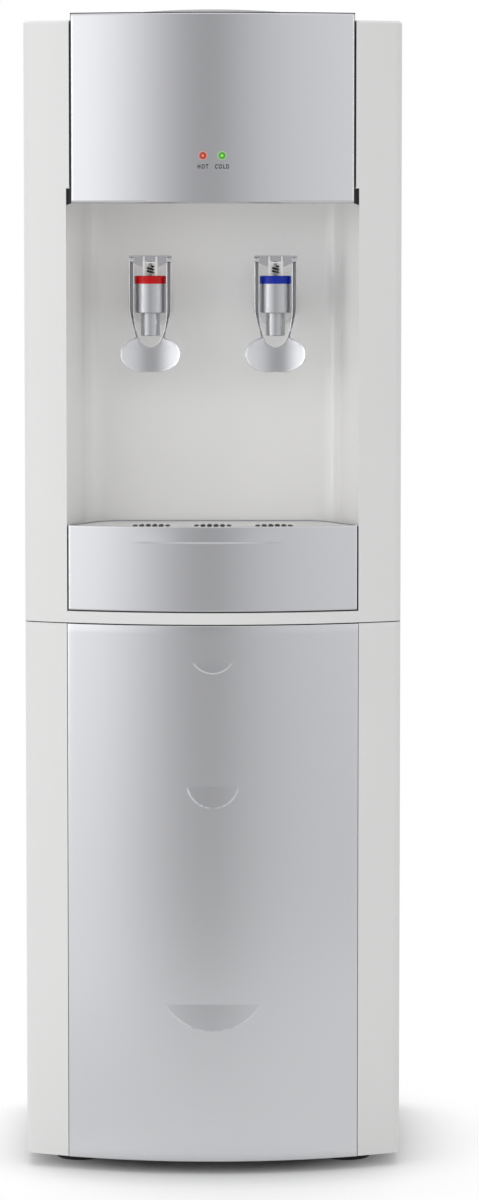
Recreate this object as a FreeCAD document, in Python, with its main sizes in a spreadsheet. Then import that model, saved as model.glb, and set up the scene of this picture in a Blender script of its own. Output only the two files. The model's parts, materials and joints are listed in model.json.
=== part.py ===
"""Bottom load water cooler, as an assembly of separate pieces with real joints.

Millimetres. The front faces -Y and up is +Z. The origin lies on the floor, under the middle
of the whole object. Every size comes from the sheet, and a piece that fits another one takes
its size and place from the same cells.
"""
import FreeCAD
import Part
import Sketcher
import math
import os

SIZES = {
    # the cabinet
    "body_width": 360.0,
    "body_depth": 350.0,
    "rear_standoff": 30.0,
    "bow_radius": 385.0,
    "corner_round": 11.0,
    "close_depth": 78.0,
    "sheet": 1.2,
    "front_flange": 14.0,
    "back_flange": 12.0,
    "fit_gap": 0.3,
    "seam_gap": 1.0,
    "shell": 3.0,
    "top_edge_round": 2.0,
    # heights, from the floor up
    "foot_height": 12.0,
    "foot_radius": 19.0,
    "foot_inset": 50.0,
    "foot_front_depth": 88.0,
    "foot_back_depth": 30.0,
    "pan_flange": 16.0,
    "door_lift": 0.5,
    "door_height": 515.5,
    "lip_height": 11.0,
    "tray_height": 81.5,
    "opening_height": 305.5,
    "panel_height": 179.0,
    "panel_rise": 6.5,
    "crown_rise": 9.5,
    "notch_height": 14.5,
    # the front openings
    "niche_width": 278.0,
    "niche_back_width": 242.0,
    "niche_depth": 118.0,
    "niche_round": 20.0,
    "frame_depth": 40.0,
    "panel_width": 268.6,
    "panel_opening": 272.0,
    "panel_return": 8.2,
    "backing_depth": 8.5,
    "backing_wall": 2.5,
    "liner_wall": 2.5,
    # the lamps
    "lamp_spacing": 18.0,
    "lamp_drop": 134.1,
    "lamp_radius": 3.0,
    "lamp_flange": 4.5,
    "lamp_proud": 1.5,
    "lamp_board_width": 60.0,
    "lamp_board_height": 26.0,
    "board_wall": 1.6,
    # the bottle compartment
    "bay_width": 280.0,
    "bay_back": 40.0,
    "bay_low_ceiling": 6.0,
    "bay_step": 42.0,
    "bay_high_ceiling": 578.0,
    # the door
    "door_gap": 2.0,
    "skin_wall": 5.0,
    "skin_drop": 0.5,
    "hinge_inset": 12.0,
    "hinge_depth": 14.0,
    "hinge_pin_radius": 3.0,
    "hinge_running": 0.05,
    "hinge_pin_reach": 14.0,
    "hinge_boss": 8.0,
    "dish_half_width": 140.0,
    "dish_depth": 46.0,
    "grip_height": 90.0,
    "grip_level": 300.0,
    "grip_width": 9.0,
    "grip_depth": 10.0,
    "catch_height": 40.0,
    "catch_width": 18.0,
    "catch_level": 470.0,
    "catch_wall": 1.5,
    "dimple_1_width": 35.0,
    "dimple_1_height": 9.6,
    "dimple_1_top": 36.4,
    "dimple_1_rise": 1.0,
    "dimple_2_width": 48.4,
    "dimple_2_height": 19.9,
    "dimple_2_top": 154.5,
    "dimple_2_rise": 1.4,
    "dimple_3_width": 91.8,
    "dimple_3_height": 25.8,
    "dimple_3_top": 363.6,
    "dimple_3_rise": 1.4,
    # the drip tray
    "tray_gap": 1.4,
    "tray_side_gap": 0.5,
    "tray_wall": 2.5,
    "tray_skin": 3.0,
    "grille_wall": 3.0,
    "grille_sink": 0.5,
    "slot_width": 4.0,
    "slot_pitch": 6.6,
    "slot_length": 54.0,
    "slot_depth": 20.0,
    # the taps
    "tap_spacing": 120.0,
    "tap_reach": 45.0,
    "tap_height": 831.0,
    "barrel_radius": 15.0,
    "barrel_top": 20.0,
    "barrel_bottom": 8.0,
    "nozzle_radius": 9.2,
    "nozzle_length": 22.0,
    "nozzle_bore": 6.0,
    "shank_radius": 8.0,
    "shank_length": 34.0,
    "neck_radius": 9.5,
    "rose_radius": 22.0,
    "rose_wall": 3.0,
    "nut_radius": 14.0,
    "nut_wall": 7.0,
    "collar_radius": 15.3,
    "collar_height": 7.5,
    "stem_radius": 1.8,
    "stem_flange": 3.9,
    "stem_head": 3.2,
    "stem_running": 0.08,
    "valve_radius": 7.5,
    "valve_height": 5.0,
    "post_offset": 5.0,
    "post_wall": 2.0,
    "post_depth": 8.0,
    "post_height": 18.5,
    "bridge_height": 12.0,
    "bridge_wall": 1.5,
    "pivot_height": 16.0,
    "pivot_reach": 8.0,
    "pivot_radius": 1.5,
    "pivot_running": 0.06,
    "lift_pin_radius": 1.2,
    "lift_pin_play": 0.4,
    "lever_half": 20.0,
    "lever_slot_half": 16.0,
    "lever_wall": 5.0,
    "lever_top_half": 21.5,
    "lever_top_wall": 2.5,
    "lever_top_depth": 19.0,
    "lever_slot_drop": 84.5,
    "neck_drop": 76.0,
    "neck_half": 14.6,
    "lever_bend_drop": 56.0,
    "paddle_half": 28.8,
    "paddle_drop": 91.0,
    "paddle_end_drop": 108.5,
    "paddle_flat_half": 12.8,
    "spring_radius": 3.4,
    "spring_wire": 0.8,
    # shelves and the machinery
    "shelf_level": 593.0,
    "shelf_front": 124.0,
    "shelf_flange": 12.0,
    "tank_shelf_level": 798.0,
    "compressor_radius": 60.0,
    "compressor_height": 140.0,
    "compressor_wall": 12.0,
    "compressor_x": 78.0,
    "compressor_y": 62.0,
    "mount_height": 10.0,
    "mount_radius": 9.0,
    "mount_half_x": 62.0,
    "mount_half_y": 46.0,
    "cold_height": 170.0,
    "tank_gap": 8.0,
    "tank_side_gap": 11.8,
    "tank_back_gap": 13.05,
    "tank_front_gap": 12.15,
    "foam_wall": 22.0,
    "coil_gap": 0.5,
    "coil_tube": 3.0,
    "coil_pitch": 9.0,
    "hot_radius": 46.0,
    "hot_height": 150.0,
    "hot_x": 60.0,
    "hot_y": 60.0,
    "hot_leg": 12.0,
    "band_wall": 3.0,
    "band_height": 30.0,
    "pump_width": 46.0,
    "pump_depth": 60.0,
    "pump_height": 52.0,
    "pump_side_gap": 62.0,
    "pump_back_gap": 59.25,
    "hose_radius": 5.0,
    "feed_x": 10.0,
    "feed_drop": 55.0,
    "drain_drop": 28.0,
    "drain_lane_gap": 30.0,
    "drain_lane_step": 18.75,
    "hose_sink": 3.0,
    "line_depth": 22.5,
    "return_x": 5.0,
    "drier_x": 75.0,
    "drier_radius": 7.2,
    "drier_height": 75.0,
    "capillary_x": 56.0,
    "capillary_radius": 1.2,
    "board_width": 90.0,
    "board_height": 70.0,
    # the back
    "back_top_gap": 4.0,
    "condenser_tube": 2.4,
    "condenser_wire": 0.8,
    "condenser_gap": 30.0,
    "condenser_pitch": 40.0,
    "condenser_low": 612.0,
    "wire_pitch": 14.0,
    "weld_gap": 0.05,
    "bracket_width": 7.0,
    "vent_length": 56.0,
    "vent_height": 5.0,
    "vent_pitch": 13.0,
    "screw_head": 3.6,
    "screw_head_wall": 2.0,
    "screw_shank": 1.8,
    "screw_length": 7.0,
    "switch_width": 18.0,
    "switch_height": 22.0,
    "switch_spacing": 26.0,
    "switch_border": 4.0,
    "switch_level": 1052.0,
    "switch_play": 0.4,
    "switch_angle": 10.0,
    "gland_bore": 4.0,
    "gland_neck": 7.0,
    "gland_flange": 10.0,
    "fitting_gap": 60.0,
    "gland_level": 470.0,
    "drain_level": 470.0,
    "drain_radius": 13.0,
    # the suction probe
    "probe_side_gap": 70.0,
    "probe_back": 30.0,
    "probe_level": 486.0,
    "probe_cap_radius": 22.0,
    "probe_cap_height": 22.0,
    "probe_tube_radius": 6.0,
    "probe_length": 420.0,
    "dock_wall": 4.0,
    "dock_hole": 9.0,
    "elbow_height": 10.0,
}
SLOT_COUNT = 6
CONDENSER_RUNS = 10
SPRING_TURNS = 2.5
COIL_TURNS = 15
VENT_ROWS = 8

doc = FreeCAD.newDocument("WaterCooler")
sheet = doc.addObject("Spreadsheet::Sheet", "Sizes")
nodes = {}


class Size:
    """A length that carries both its number and the formula it has in the sheet's terms."""

    def __init__(self, value, text):
        self.value = float(value)
        self.text = text

    def __add__(self, other):
        other = as_size(other)
        return Size(self.value + other.value, f"({self.text} + {other.text})")

    def __sub__(self, other):
        other = as_size(other)
        return Size(self.value - other.value, f"({self.text} - {other.text})")

    def __mul__(self, other):
        other = as_size(other)
        return Size(self.value * other.value, f"({self.text} * {other.text})")

    def __truediv__(self, other):
        other = as_size(other)
        return Size(self.value / other.value, f"({self.text} / {other.text})")

    def __neg__(self):
        return Size(-self.value, f"(0 - {self.text})")

    def __radd__(self, other):
        return as_size(other) + self

    def __rsub__(self, other):
        return as_size(other) - self

    def __rmul__(self, other):
        return as_size(other) * self


def as_size(number):
    """A plain number as a Size; a Size as it is."""
    if isinstance(number, Size):
        return number
    return Size(number, repr(float(number)))


def root(size):
    """Square root of a Size."""
    return Size(math.sqrt(size.value), f"sqrt({size.text})")


def least(one, other):
    """The smaller of two Sizes."""
    one, other = as_size(one), as_size(other)
    return Size(min(one.value, other.value), f"min({one.text}; {other.text})")


class Cells:
    """The sheet's cells by name, as Sizes."""


def fill_sheet():
    """Write every driving size into the sheet, each under its own alias."""
    cells = Cells()
    for row, (name, value) in enumerate(SIZES.items(), start=1):
        sheet.set(f"A{row}", name)
        sheet.set(f"B{row}", str(value))
        sheet.setAlias(f"B{row}", name)
        setattr(cells, name, Size(value, f"Sizes.{name}"))
    doc.recompute()
    return cells


s = fill_sheet()

# places that many pieces share
HALF = s.body_width / 2
FRONT = (s.body_depth + s.rear_standoff - s.lamp_proud) / -2
BACK = FRONT + s.body_depth
REAR = BACK + s.rear_standoff
BOW_Y = FRONT + s.bow_radius
CLOSE = FRONT + s.close_depth
FRAME_END = FRONT + s.frame_depth
DOOR_LOW = s.foot_height + s.door_lift
DOOR_TOP = DOOR_LOW + s.door_height
SEAM = DOOR_TOP + s.seam_gap
LIP_TOP = SEAM + s.lip_height
TRAY_LOW = LIP_TOP + s.fit_gap + s.liner_wall / 12
TRAY_TOP = TRAY_LOW + s.tray_height
PANEL_LOW = TRAY_TOP + s.opening_height
PANEL_TOP = PANEL_LOW + s.panel_height
COLUMN_TOP = PANEL_TOP - s.panel_rise
NICHE_TOP = PANEL_LOW + s.notch_height
NICHE_HALF = s.niche_width / 2
NICHE_BACK = FRONT + s.niche_depth
BACKING = s.backing_depth + s.backing_wall
BACK_SKIN = BACK - s.sheet - s.fit_gap
FITTING_X = HALF - s.fitting_gap
DOOR_BACK = CLOSE - s.door_gap
HINGE_X = HALF - s.hinge_inset
HINGE_Y = DOOR_BACK - s.hinge_depth
TAP_Y = NICHE_BACK - s.tap_reach
BARREL_TOP = s.tap_height + s.barrel_top
COLLAR_TOP = BARREL_TOP + s.collar_height
PIVOT_Y = TAP_Y - s.pivot_reach
PIVOT_Z = COLLAR_TOP + s.pivot_height


def bind(piece, path, size):
    """Tie one property of a piece to the sheet."""
    piece.setExpression(path, as_size(size).text)


def place(piece, x, y, z):
    """Tie the place of a piece to the sheet."""
    bind(piece, "Placement.Base.x", x)
    bind(piece, "Placement.Base.y", y)
    bind(piece, "Placement.Base.z", z)
    return piece


def block(name, x, y, z):
    """Block between a pair of values on each axis."""
    piece = doc.addObject("Part::Box", name)
    for side, (low, high) in zip(("Length", "Width", "Height"), (x, y, z)):
        bind(piece, side, as_size(high) - low)
    return place(piece, x[0], y[0], z[0])


DIRECTIONS = {
    "x": FreeCAD.Vector(1, 0, 0),
    "y": FreeCAD.Vector(0, 1, 0),
    "z": FreeCAD.Vector(0, 0, 1),
}


def turn_towards(piece, along):
    """Turn a piece made along Z so that it lies along another axis."""
    turn = FreeCAD.Rotation(DIRECTIONS["z"], DIRECTIONS[along])
    piece.Placement = FreeCAD.Placement(FreeCAD.Vector(), turn)


def rod(name, radius, x, y, z, length, along="z"):
    """Cylinder from a point on its axis, along +X, +Y or +Z."""
    piece = doc.addObject("Part::Cylinder", name)
    turn_towards(piece, along)
    bind(piece, "Radius", radius)
    bind(piece, "Height", length)
    return place(piece, x, y, z)


def cone(name, low_radius, high_radius, x, y, z, length, along="z"):
    """Cone from a point on its axis, along +X, +Y or +Z."""
    piece = doc.addObject("Part::Cone", name)
    turn_towards(piece, along)
    bind(piece, "Radius1", low_radius)
    bind(piece, "Radius2", high_radius)
    bind(piece, "Height", length)
    return place(piece, x, y, z)


def fuse(name, pieces):
    """One solid from several that touch or overlap."""
    piece = doc.addObject("Part::MultiFuse", name)
    piece.Shapes = pieces
    piece.Refine = True
    return piece


def common(name, pieces):
    """What several solids share."""
    piece = doc.addObject("Part::MultiCommon", name)
    piece.Shapes = pieces
    return piece


def cut(name, base, tools):
    """A solid less its tools."""
    tool = tools[0] if len(tools) == 1 else fuse(f"{name}_tools", tools)
    piece = doc.addObject("Part::Cut", name)
    piece.Base = base
    piece.Tool = tool
    return piece


def group(name, pieces):
    """Separate solids that share a node."""
    piece = doc.addObject("Part::Compound", name)
    piece.Links = pieces
    return piece


def node(name, piece):
    """Give a finished piece its node name."""
    piece.Label = name
    nodes[name] = piece
    return piece


def flat_point(x, y):
    """Point of a sketch, from two Sizes."""
    return FreeCAD.Vector(as_size(x).value, as_size(y).value, 0)


def arc_middle(start, end, radius, turn):
    """Middle of the short arc from start to end; turn is 1 when it turns left, -1 right."""
    chord = end - start
    middle = (start + end) * 0.5
    half = chord.Length / 2
    rise = radius - math.sqrt(radius * radius - half * half)
    side = FreeCAD.Vector(chord.y, -chord.x, 0) * (turn / chord.Length)
    return middle + side * rise


def new_sketch(body, name, plane, level):
    """Sketch on one of the body's own planes, moved along the plane's normal by level."""
    sketch = body.newObject("Sketcher::SketchObject", name)
    support = next(item for item in body.Origin.OriginFeatures if item.Role == plane)
    sketch.AttachmentSupport = [(support, "")]
    sketch.MapMode = "FlatFace"
    bind(sketch, "AttachmentOffset.Base.z", level)
    return sketch


def fix_point(sketch, edge, end, x, y):
    """Tie one end of an edge of a sketch to the sheet."""
    for kind, size in (("DistanceX", as_size(x)), ("DistanceY", as_size(y))):
        index = sketch.addConstraint(Sketcher.Constraint(kind, -1, 1, edge, end, size.value))
        sketch.setExpression(f"Constraints[{index}]", size.text)


def outline(body, name, plane, level, corners):
    """Closed outline. A corner is (x, y), or (x, y, radius, turn) where an arc leaves it."""
    sketch = new_sketch(body, name, plane, level)
    first = sketch.GeometryCount
    count = len(corners)
    ends = []
    for index, corner in enumerate(corners):
        after = corners[(index + 1) % count]
        start, end = flat_point(*corner[:2]), flat_point(*after[:2])
        if len(corner) == 4:
            radius, turn = as_size(corner[2]), corner[3]
            middle = arc_middle(start, end, radius.value, turn)
            edge = sketch.addGeometry(Part.Arc(start, middle, end))
            own = sketch.addConstraint(Sketcher.Constraint("Radius", edge, radius.value))
            sketch.setExpression(f"Constraints[{own}]", radius.text)
        else:
            edge = sketch.addGeometry(Part.LineSegment(start, end))
        kept = (sketch.getPoint(edge, 1) - start).Length < (sketch.getPoint(edge, 2) - start).Length
        ends.append((1, 2) if kept else (2, 1))
    for index, corner in enumerate(corners):
        before = (index - 1) % count
        sketch.addConstraint(Sketcher.Constraint(
            "Coincident", first + before, ends[before][1], first + index, ends[index][0]))
        fix_point(sketch, first + index, ends[index][0], corner[0], corner[1])
    return sketch


def pad(body, name, sketch, length, backwards=False):
    """Thicken a sketch into a solid, along the sketch's normal or against it."""
    feature = body.newObject("PartDesign::Pad", name)
    feature.Profile = sketch
    feature.Reversed = backwards
    bind(feature, "Length", length)
    sketch.Visibility = False
    return feature


def pocket(body, name, sketch, length, backwards=False):
    """Cut a sketch out of the body, against the sketch's normal or along it."""
    feature = body.newObject("PartDesign::Pocket", name)
    feature.Profile = sketch
    feature.Reversed = backwards
    bind(feature, "Length", length)
    sketch.Visibility = False
    return feature


def revolve(name, corners, x=0, y=0, z=0, along="z"):
    """Body of revolution; corners are (radius, distance along the axis)."""
    body = doc.addObject("PartDesign::Body", name)
    sketch = outline(body, f"{name}_section", "XZ_Plane", 0, corners)
    feature = body.newObject("PartDesign::Revolution", f"{name}_turn")
    feature.Profile = sketch
    feature.ReferenceAxis = (sketch, ["V_Axis"])
    feature.Angle = 360
    turn_towards(body, along)
    place(body, x, y, z)
    return body


def edges_where(shape, test):
    """Names of the edges of a shape that pass a test on their two ends' box."""
    return [f"Edge{index}" for index, edge in enumerate(shape.Edges, start=1) if test(edge)]


def upright_at(x, y):
    """Test for a vertical edge at a place in plan, on both sides of the middle."""
    want_x, want_y = as_size(x).value, as_size(y).value

    def test(edge):
        box = edge.BoundBox
        if box.XLength > 0.01 or box.YLength > 0.01:
            return False
        return abs(abs(box.XMin) - want_x) < 0.01 and abs(box.YMin - want_y) < 0.01

    return test


def fillet(body, name, base, radius, test):
    """Round the edges of a body that pass a test."""
    doc.recompute()
    feature = body.newObject("PartDesign::Fillet", name)
    feature.Base = (base, edges_where(base.Shape, test))
    bind(feature, "Radius", radius)
    return feature


def round_part(name, base, radius, test):
    """Round the edges of a Part solid that pass a test."""
    doc.recompute()
    value = as_size(radius).value
    found = [index for index, edge in enumerate(base.Shape.Edges, start=1) if test(edge)]
    piece = doc.addObject("Part::Fillet", name)
    piece.Base = base
    piece.Edges = [(index, value, value) for index in found]
    return piece


def bevel_part(name, base, size, test):
    """Cut the edges of a Part solid that pass a test, at 45 degrees."""
    doc.recompute()
    value = as_size(size).value
    found = [index for index, edge in enumerate(base.Shape.Edges, start=1) if test(edge)]
    piece = doc.addObject("Part::Chamfer", name)
    piece.Base = base
    piece.Edges = [(index, value, value) for index in found]
    return piece


def bow_at(x, inset=0):
    """How far back the front surface lies at x, inset behind it."""
    radius = s.bow_radius - inset
    return BOW_Y - root(radius * radius - x * x)


def bow_skin(name, half, near, far, low, high):
    """Bowed skin that follows the front, between two insets and two heights."""
    body = doc.addObject("PartDesign::Body", name)
    corners = [
        (-half, bow_at(half, near), s.bow_radius - near, 1),
        (half, bow_at(half, near)),
        (half, bow_at(half, far), s.bow_radius - far, -1),
        (-half, bow_at(half, far)),
    ]
    sketch = outline(body, f"{name}_plan", "XY_Plane", low, corners)
    pad(body, f"{name}_pad", sketch, as_size(high) - low)
    return body


def bow_block(name, half, inset, corner, back, low, high, back_corner=None):
    """Block with the bowed front and its rounded corners, as deep as back."""
    body = doc.addObject("PartDesign::Body", name)
    radius = s.bow_radius - inset
    reach = radius - corner
    across = half - corner
    middle_y = BOW_Y - root(reach * reach - across * across)
    meet_x = across * radius / reach
    meet_y = BOW_Y - (BOW_Y - middle_y) * radius / reach
    front = [
        (-half, middle_y, corner, 1),
        (-meet_x, meet_y, radius, 1),
        (meet_x, meet_y, corner, 1),
        (half, middle_y),
    ]
    if back_corner is None:
        rear = [(half, back), (-half, back)]
    else:
        rear = [
            (half, back - back_corner, back_corner, 1),
            (half - back_corner, back),
            (back_corner - half, back, back_corner, 1),
            (-half, back - back_corner),
        ]
    sketch = outline(body, f"{name}_plan", "XY_Plane", low, front + rear)
    pad(body, f"{name}_pad", sketch, as_size(high) - low)
    return body


# ---------------------------------------------------------------- tubes and windings


def rounded_path(points, bend):
    """Wire through points, straight runs joined by tangent arcs of one bend radius."""
    edges = []
    here = points[0]
    for before, corner, after in zip(points, points[1:], points[2:]):
        inward = (before - corner).normalize()
        outward = (after - corner).normalize()
        turn = math.pi - inward.getAngle(outward)
        reach = bend * math.tan(turn / 2)
        start = corner + inward * reach
        end = corner + outward * reach
        towards = (inward + outward).normalize()
        middle = corner + towards * (bend / math.cos(turn / 2) - bend)
        if (start - here).Length > 0.001:
            edges.append(Part.LineSegment(here, start).toShape())
        edges.append(Part.Arc(start, middle, end).toShape())
        here = end
    edges.append(Part.LineSegment(here, points[-1]).toShape())
    return Part.Wire(edges)


def swept_tube(path, radius, bore=0):
    """Solid tube along a wire, with its bore where it has one."""
    start = path.OrderedEdges[0]
    origin = start.valueAt(start.FirstParameter)
    heading = start.tangentAt(start.FirstParameter)
    ring = Part.Wire(Part.Circle(origin, heading, radius).toShape())
    tube = path.makePipeShell([ring], True, False)
    if bore:
        hole = Part.Wire(Part.Circle(origin, heading, bore).toShape())
        tube = tube.cut(path.makePipeShell([hole], True, False))
    return tube


def tube(name, points, radius, bend):
    """Tube through points given as triples of Sizes."""
    vectors = [FreeCAD.Vector(*[as_size(part).value for part in point]) for point in points]
    piece = doc.addObject("Part::Feature", name)
    piece.Shape = swept_tube(rounded_path(vectors, as_size(bend).value), as_size(radius).value)
    return piece


def tangent_arc(start, corner, end):
    """Arc from start to end whose end tangents meet in corner."""
    middle = (start + end) * 0.5
    half = (end - start).Length / 2
    slope = math.acos(min(1.0, half / (corner - start).Length))
    rise = half * math.tan(slope / 2)
    through = middle + (corner - middle).normalize() * rise
    return Part.Arc(start, through, end).toShape()


def biarc(start, start_way, end, end_way):
    """Two arcs that leave start one way and reach end another."""
    span = end - start
    ways = start_way + end_way
    slack = 2 * (1 - start_way.dot(end_way))
    reach = (math.sqrt(span.dot(ways) ** 2 + slack * span.dot(span)) - span.dot(ways)) / slack
    near = start + start_way * reach
    far = end - end_way * reach
    joint = (near + far) * 0.5
    return [tangent_arc(start, near, joint), tangent_arc(joint, far, end)]


def winding(radius, wire, pitch, turns, low, high):
    """Path of a coil from low to high, its ends straight and square, and its least gap."""
    bend = wire * 1.3
    lead = wire + bend
    climb = pitch * turns
    start_z = (low + high - climb) / 2
    quarter = math.pi / 2
    steps = round(turns * 4)

    def spot(step):
        angle = step * quarter
        height = start_z + climb * step / steps
        return FreeCAD.Vector(radius * math.cos(angle), radius * math.sin(angle), height)

    def way(step):
        angle = step * quarter
        rise = climb / (turns * 2 * math.pi * radius)
        return FreeCAD.Vector(-math.sin(angle), math.cos(angle), rise).normalize()

    up = FreeCAD.Vector(0, 0, 1)
    foot = spot(0) - FreeCAD.Vector(way(0).x, way(0).y, 0).normalize() * bend
    foot.z = spot(0).z - bend
    crown = spot(steps) + FreeCAD.Vector(way(steps).x, way(steps).y, 0).normalize() * bend
    crown.z = spot(steps).z + bend
    edges = [Part.LineSegment(FreeCAD.Vector(foot.x, foot.y, low), foot).toShape()]
    edges += biarc(foot, up, spot(0), way(0))
    for step in range(steps):
        edges += biarc(spot(step), way(step), spot(step + 1), way(step + 1))
    edges += biarc(spot(steps), way(steps), crown, up)
    edges.append(Part.LineSegment(crown, FreeCAD.Vector(crown.x, crown.y, high)).toShape())
    if foot.z - low < wire or high - crown.z < wire:
        print("a winding's straight ends are short of one wire:", foot.z - low, high - crown.z, lead)
    return Part.Wire(edges), least_gap(edges, wire)


def least_gap(edges, wire):
    """Least clear space between parts of a path that lie over two wires apart along it."""
    points = []
    travelled = 0.0
    for edge in edges:
        for index, point in enumerate(edge.discretize(9)[:-1]):
            points.append((travelled + edge.Length * index / 8, point))
        travelled += edge.Length
    stride = wire * 4
    near = wire * 100
    for index, (at, point) in enumerate(points):
        for other_at, other in points[index + 1:]:
            if other_at - at > stride:
                near = min(near, (other - point).Length)
    return near - wire


def coil(name, radius, wire, pitch, turns, x, y, low, high):
    """Wound tube about a vertical axis."""
    low, high = as_size(low).value, as_size(high).value
    radius, wire, pitch = as_size(radius).value, as_size(wire).value, as_size(pitch).value
    path, gap = winding(radius, wire, pitch, turns, low, high)
    print(f"{name}: least gap to itself {gap:.2f} mm")
    piece = doc.addObject("Part::Feature", name)
    piece.Shape = swept_tube(path, wire / 2)
    move = FreeCAD.Vector(as_size(x).value, as_size(y).value, 0)
    piece.Placement = FreeCAD.Placement(move, FreeCAD.Rotation())
    return piece


# ---------------------------------------------------------------- feet, pan and panels


def foot_places():
    """The four feet, as (x, y)."""
    half = HALF - s.foot_inset
    front = FRONT + s.foot_front_depth
    back = BACK - s.foot_back_depth
    return [(-half, front), (half, front), (-half, back), (half, back)]


def make_feet():
    peg = s.foot_radius * 0.21
    taper = s.foot_radius * 0.1
    feet = []
    for index, (x, y) in enumerate(foot_places()):
        corners = [
            (0, 0),
            (s.foot_radius - taper, 0),
            (s.foot_radius, taper),
            (s.foot_radius, s.foot_height),
            (peg, s.foot_height),
            (peg, s.foot_height + s.sheet),
            (0, s.foot_height + s.sheet),
        ]
        feet.append(revolve(f"foot_{index}", corners, x, y, 0))
    node("levelling_feet", group("feet", feet))


def make_base_pan():
    low, top = s.foot_height, s.foot_height + s.pan_flange
    half = HALF - s.sheet - s.fit_gap
    front, back = CLOSE + s.sheet + s.fit_gap, BACK_SKIN - s.sheet - s.fit_gap
    outer = block("pan_outer", (-half, half), (front, back), (low, top))
    inner = block("pan_inner", (s.sheet - half, half - s.sheet), (front - 1, back - s.sheet),
                  (low + s.sheet, top + 1))
    peg = s.foot_radius * 0.21 + s.fit_gap
    holes = [rod(f"pan_hole_{index}", peg, x, y, low - 1, s.sheet + 2)
             for index, (x, y) in enumerate(foot_places())]
    holes += [rod(f"bracket_hole_{index}", s.screw_shank + s.fit_gap / 3, x, y, low - 1, s.sheet + 2)
              for index, (x, y) in enumerate(bracket_screw_places())]
    node("base_pan", cut("pan", outer, [inner] + holes))


def make_side_panel(name, side):
    """Side sheet with its front and back flanges; side is -1 on the left and 1 on the right."""
    body = doc.addObject("PartDesign::Body", f"{name}_body")
    outer, inner = HALF * side, (HALF - s.sheet) * side
    corners = [
        (outer, CLOSE),
        (outer, BACK),
        (outer - s.back_flange * side, BACK),
        (outer - s.back_flange * side, BACK - s.sheet),
        (inner, BACK - s.sheet),
        (inner, CLOSE + s.sheet),
        (outer - s.front_flange * side, CLOSE + s.sheet),
        (outer - s.front_flange * side, CLOSE),
    ]
    low = s.foot_height
    plan = outline(body, f"{name}_plan", "XY_Plane", low, corners)
    pad(body, f"{name}_pad", plan, COLUMN_TOP - s.liner_wall - s.fit_gap - low)
    holes = [rod(f"{name}_hole_{index}", s.screw_shank + s.fit_gap / 3, SCREW_X * side,
                 BACK - s.sheet - 1, level, s.sheet + 2, "y")
             for index, level in enumerate(screw_levels())]
    node(name, cut(f"{name}_cut", body, holes))


SCREW_X = HALF - s.back_flange / 2


def screw_levels():
    """Heights of the screws down each side of the back."""
    low = s.foot_height + s.pan_flange * 1.5
    high = COLUMN_TOP - s.pan_flange * 1.5
    return [low + (high - low) * share for share in (0, 0.25, 0.5, 0.75, 1)]


def bracket_screw_places():
    """Screws that hold the lower hinge bracket, as (x, y)."""
    first = CLOSE + s.hinge_depth
    return [(HINGE_X, first), (HINGE_X, first + s.hinge_depth)]


def make_screws():
    """Pan-head screws of the back panel and of the hinge bracket."""
    screws = []
    head = s.screw_head - s.top_edge_round * 0.4
    corners = [
        (0, 0),
        (s.screw_shank, 0),
        (s.screw_shank, s.screw_length),
        (s.screw_head, s.screw_length),
        (s.screw_head, s.screw_length + s.screw_head_wall / 2),
        (head, s.screw_length + s.screw_head_wall),
        (0, s.screw_length + s.screw_head_wall),
    ]
    for side in (-1, 1):
        for index, level in enumerate(screw_levels()):
            name = f"back_screw_{index}_{'left' if side < 0 else 'right'}"
            start = BACK - s.screw_length
            screws.append(revolve(name, corners, SCREW_X * side, start, level, "y"))
    for index, (x, y) in enumerate(bracket_screw_places()):
        flipped = [(radius, s.screw_length - as_size(along)) for radius, along in reversed(corners)]
        base = s.foot_height - bracket_wall() - s.screw_length
        screws.append(revolve(f"bracket_screw_{index}", flipped, x, y,
                              base + s.screw_length))
    node("case_screws", group("screws", screws))


def back_hole(name, radius, x, z):
    """Round hole through the back panel."""
    return rod(name, radius, x, BACK_SKIN - s.sheet - 1, z, s.sheet + 2, "y")


def make_back_panel():
    half = HALF - s.sheet - s.fit_gap
    low, high = s.foot_height + s.fit_gap, COLUMN_TOP - s.back_top_gap
    sheet_block = block("back_sheet", (-half, half), (BACK_SKIN - s.sheet, BACK_SKIN), (low, high))
    tools = []
    for side in (-1, 1):
        for index, level in enumerate(screw_levels()):
            tools.append(back_hole(f"back_hole_{index}_{side + 1}", s.screw_shank + s.fit_gap / 3,
                                   SCREW_X * side, level))
    vent_low = s.shelf_level + s.condenser_pitch
    for column in (-1, 1):
        centre = s.compressor_x * column
        for row in range(VENT_ROWS):
            bottom = vent_low + s.vent_pitch * row
            tools.append(block(f"vent_{column + 1}_{row}",
                               (centre - s.vent_length / 2, centre + s.vent_length / 2),
                               (BACK_SKIN - s.sheet - 1, BACK_SKIN + 1),
                               (bottom, bottom + s.vent_height)))
    tools.append(back_hole("gland_hole", s.gland_neck + s.fit_gap, FITTING_X, s.gland_level))
    tools.append(back_hole("drain_hole", s.gland_neck + s.fit_gap, -FITTING_X, s.drain_level))
    for index, level in enumerate((condenser_level(0), condenser_level(CONDENSER_RUNS - 1))):
        tools.append(back_hole(f"line_hole_{index}", s.condenser_tube + s.fit_gap,
                               -CONDENSER_END, level))
    half_housing = housing_half() + s.fit_gap
    tools.append(block("switch_cutout", (-half_housing, half_housing),
                       (BACK_SKIN - s.sheet - 1, BACK_SKIN + 1),
                       (s.switch_level - switch_half() - s.fit_gap,
                        s.switch_level + switch_half() + s.fit_gap)))
    node("back_panel", cut("back_cut", sheet_block, tools))


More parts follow.
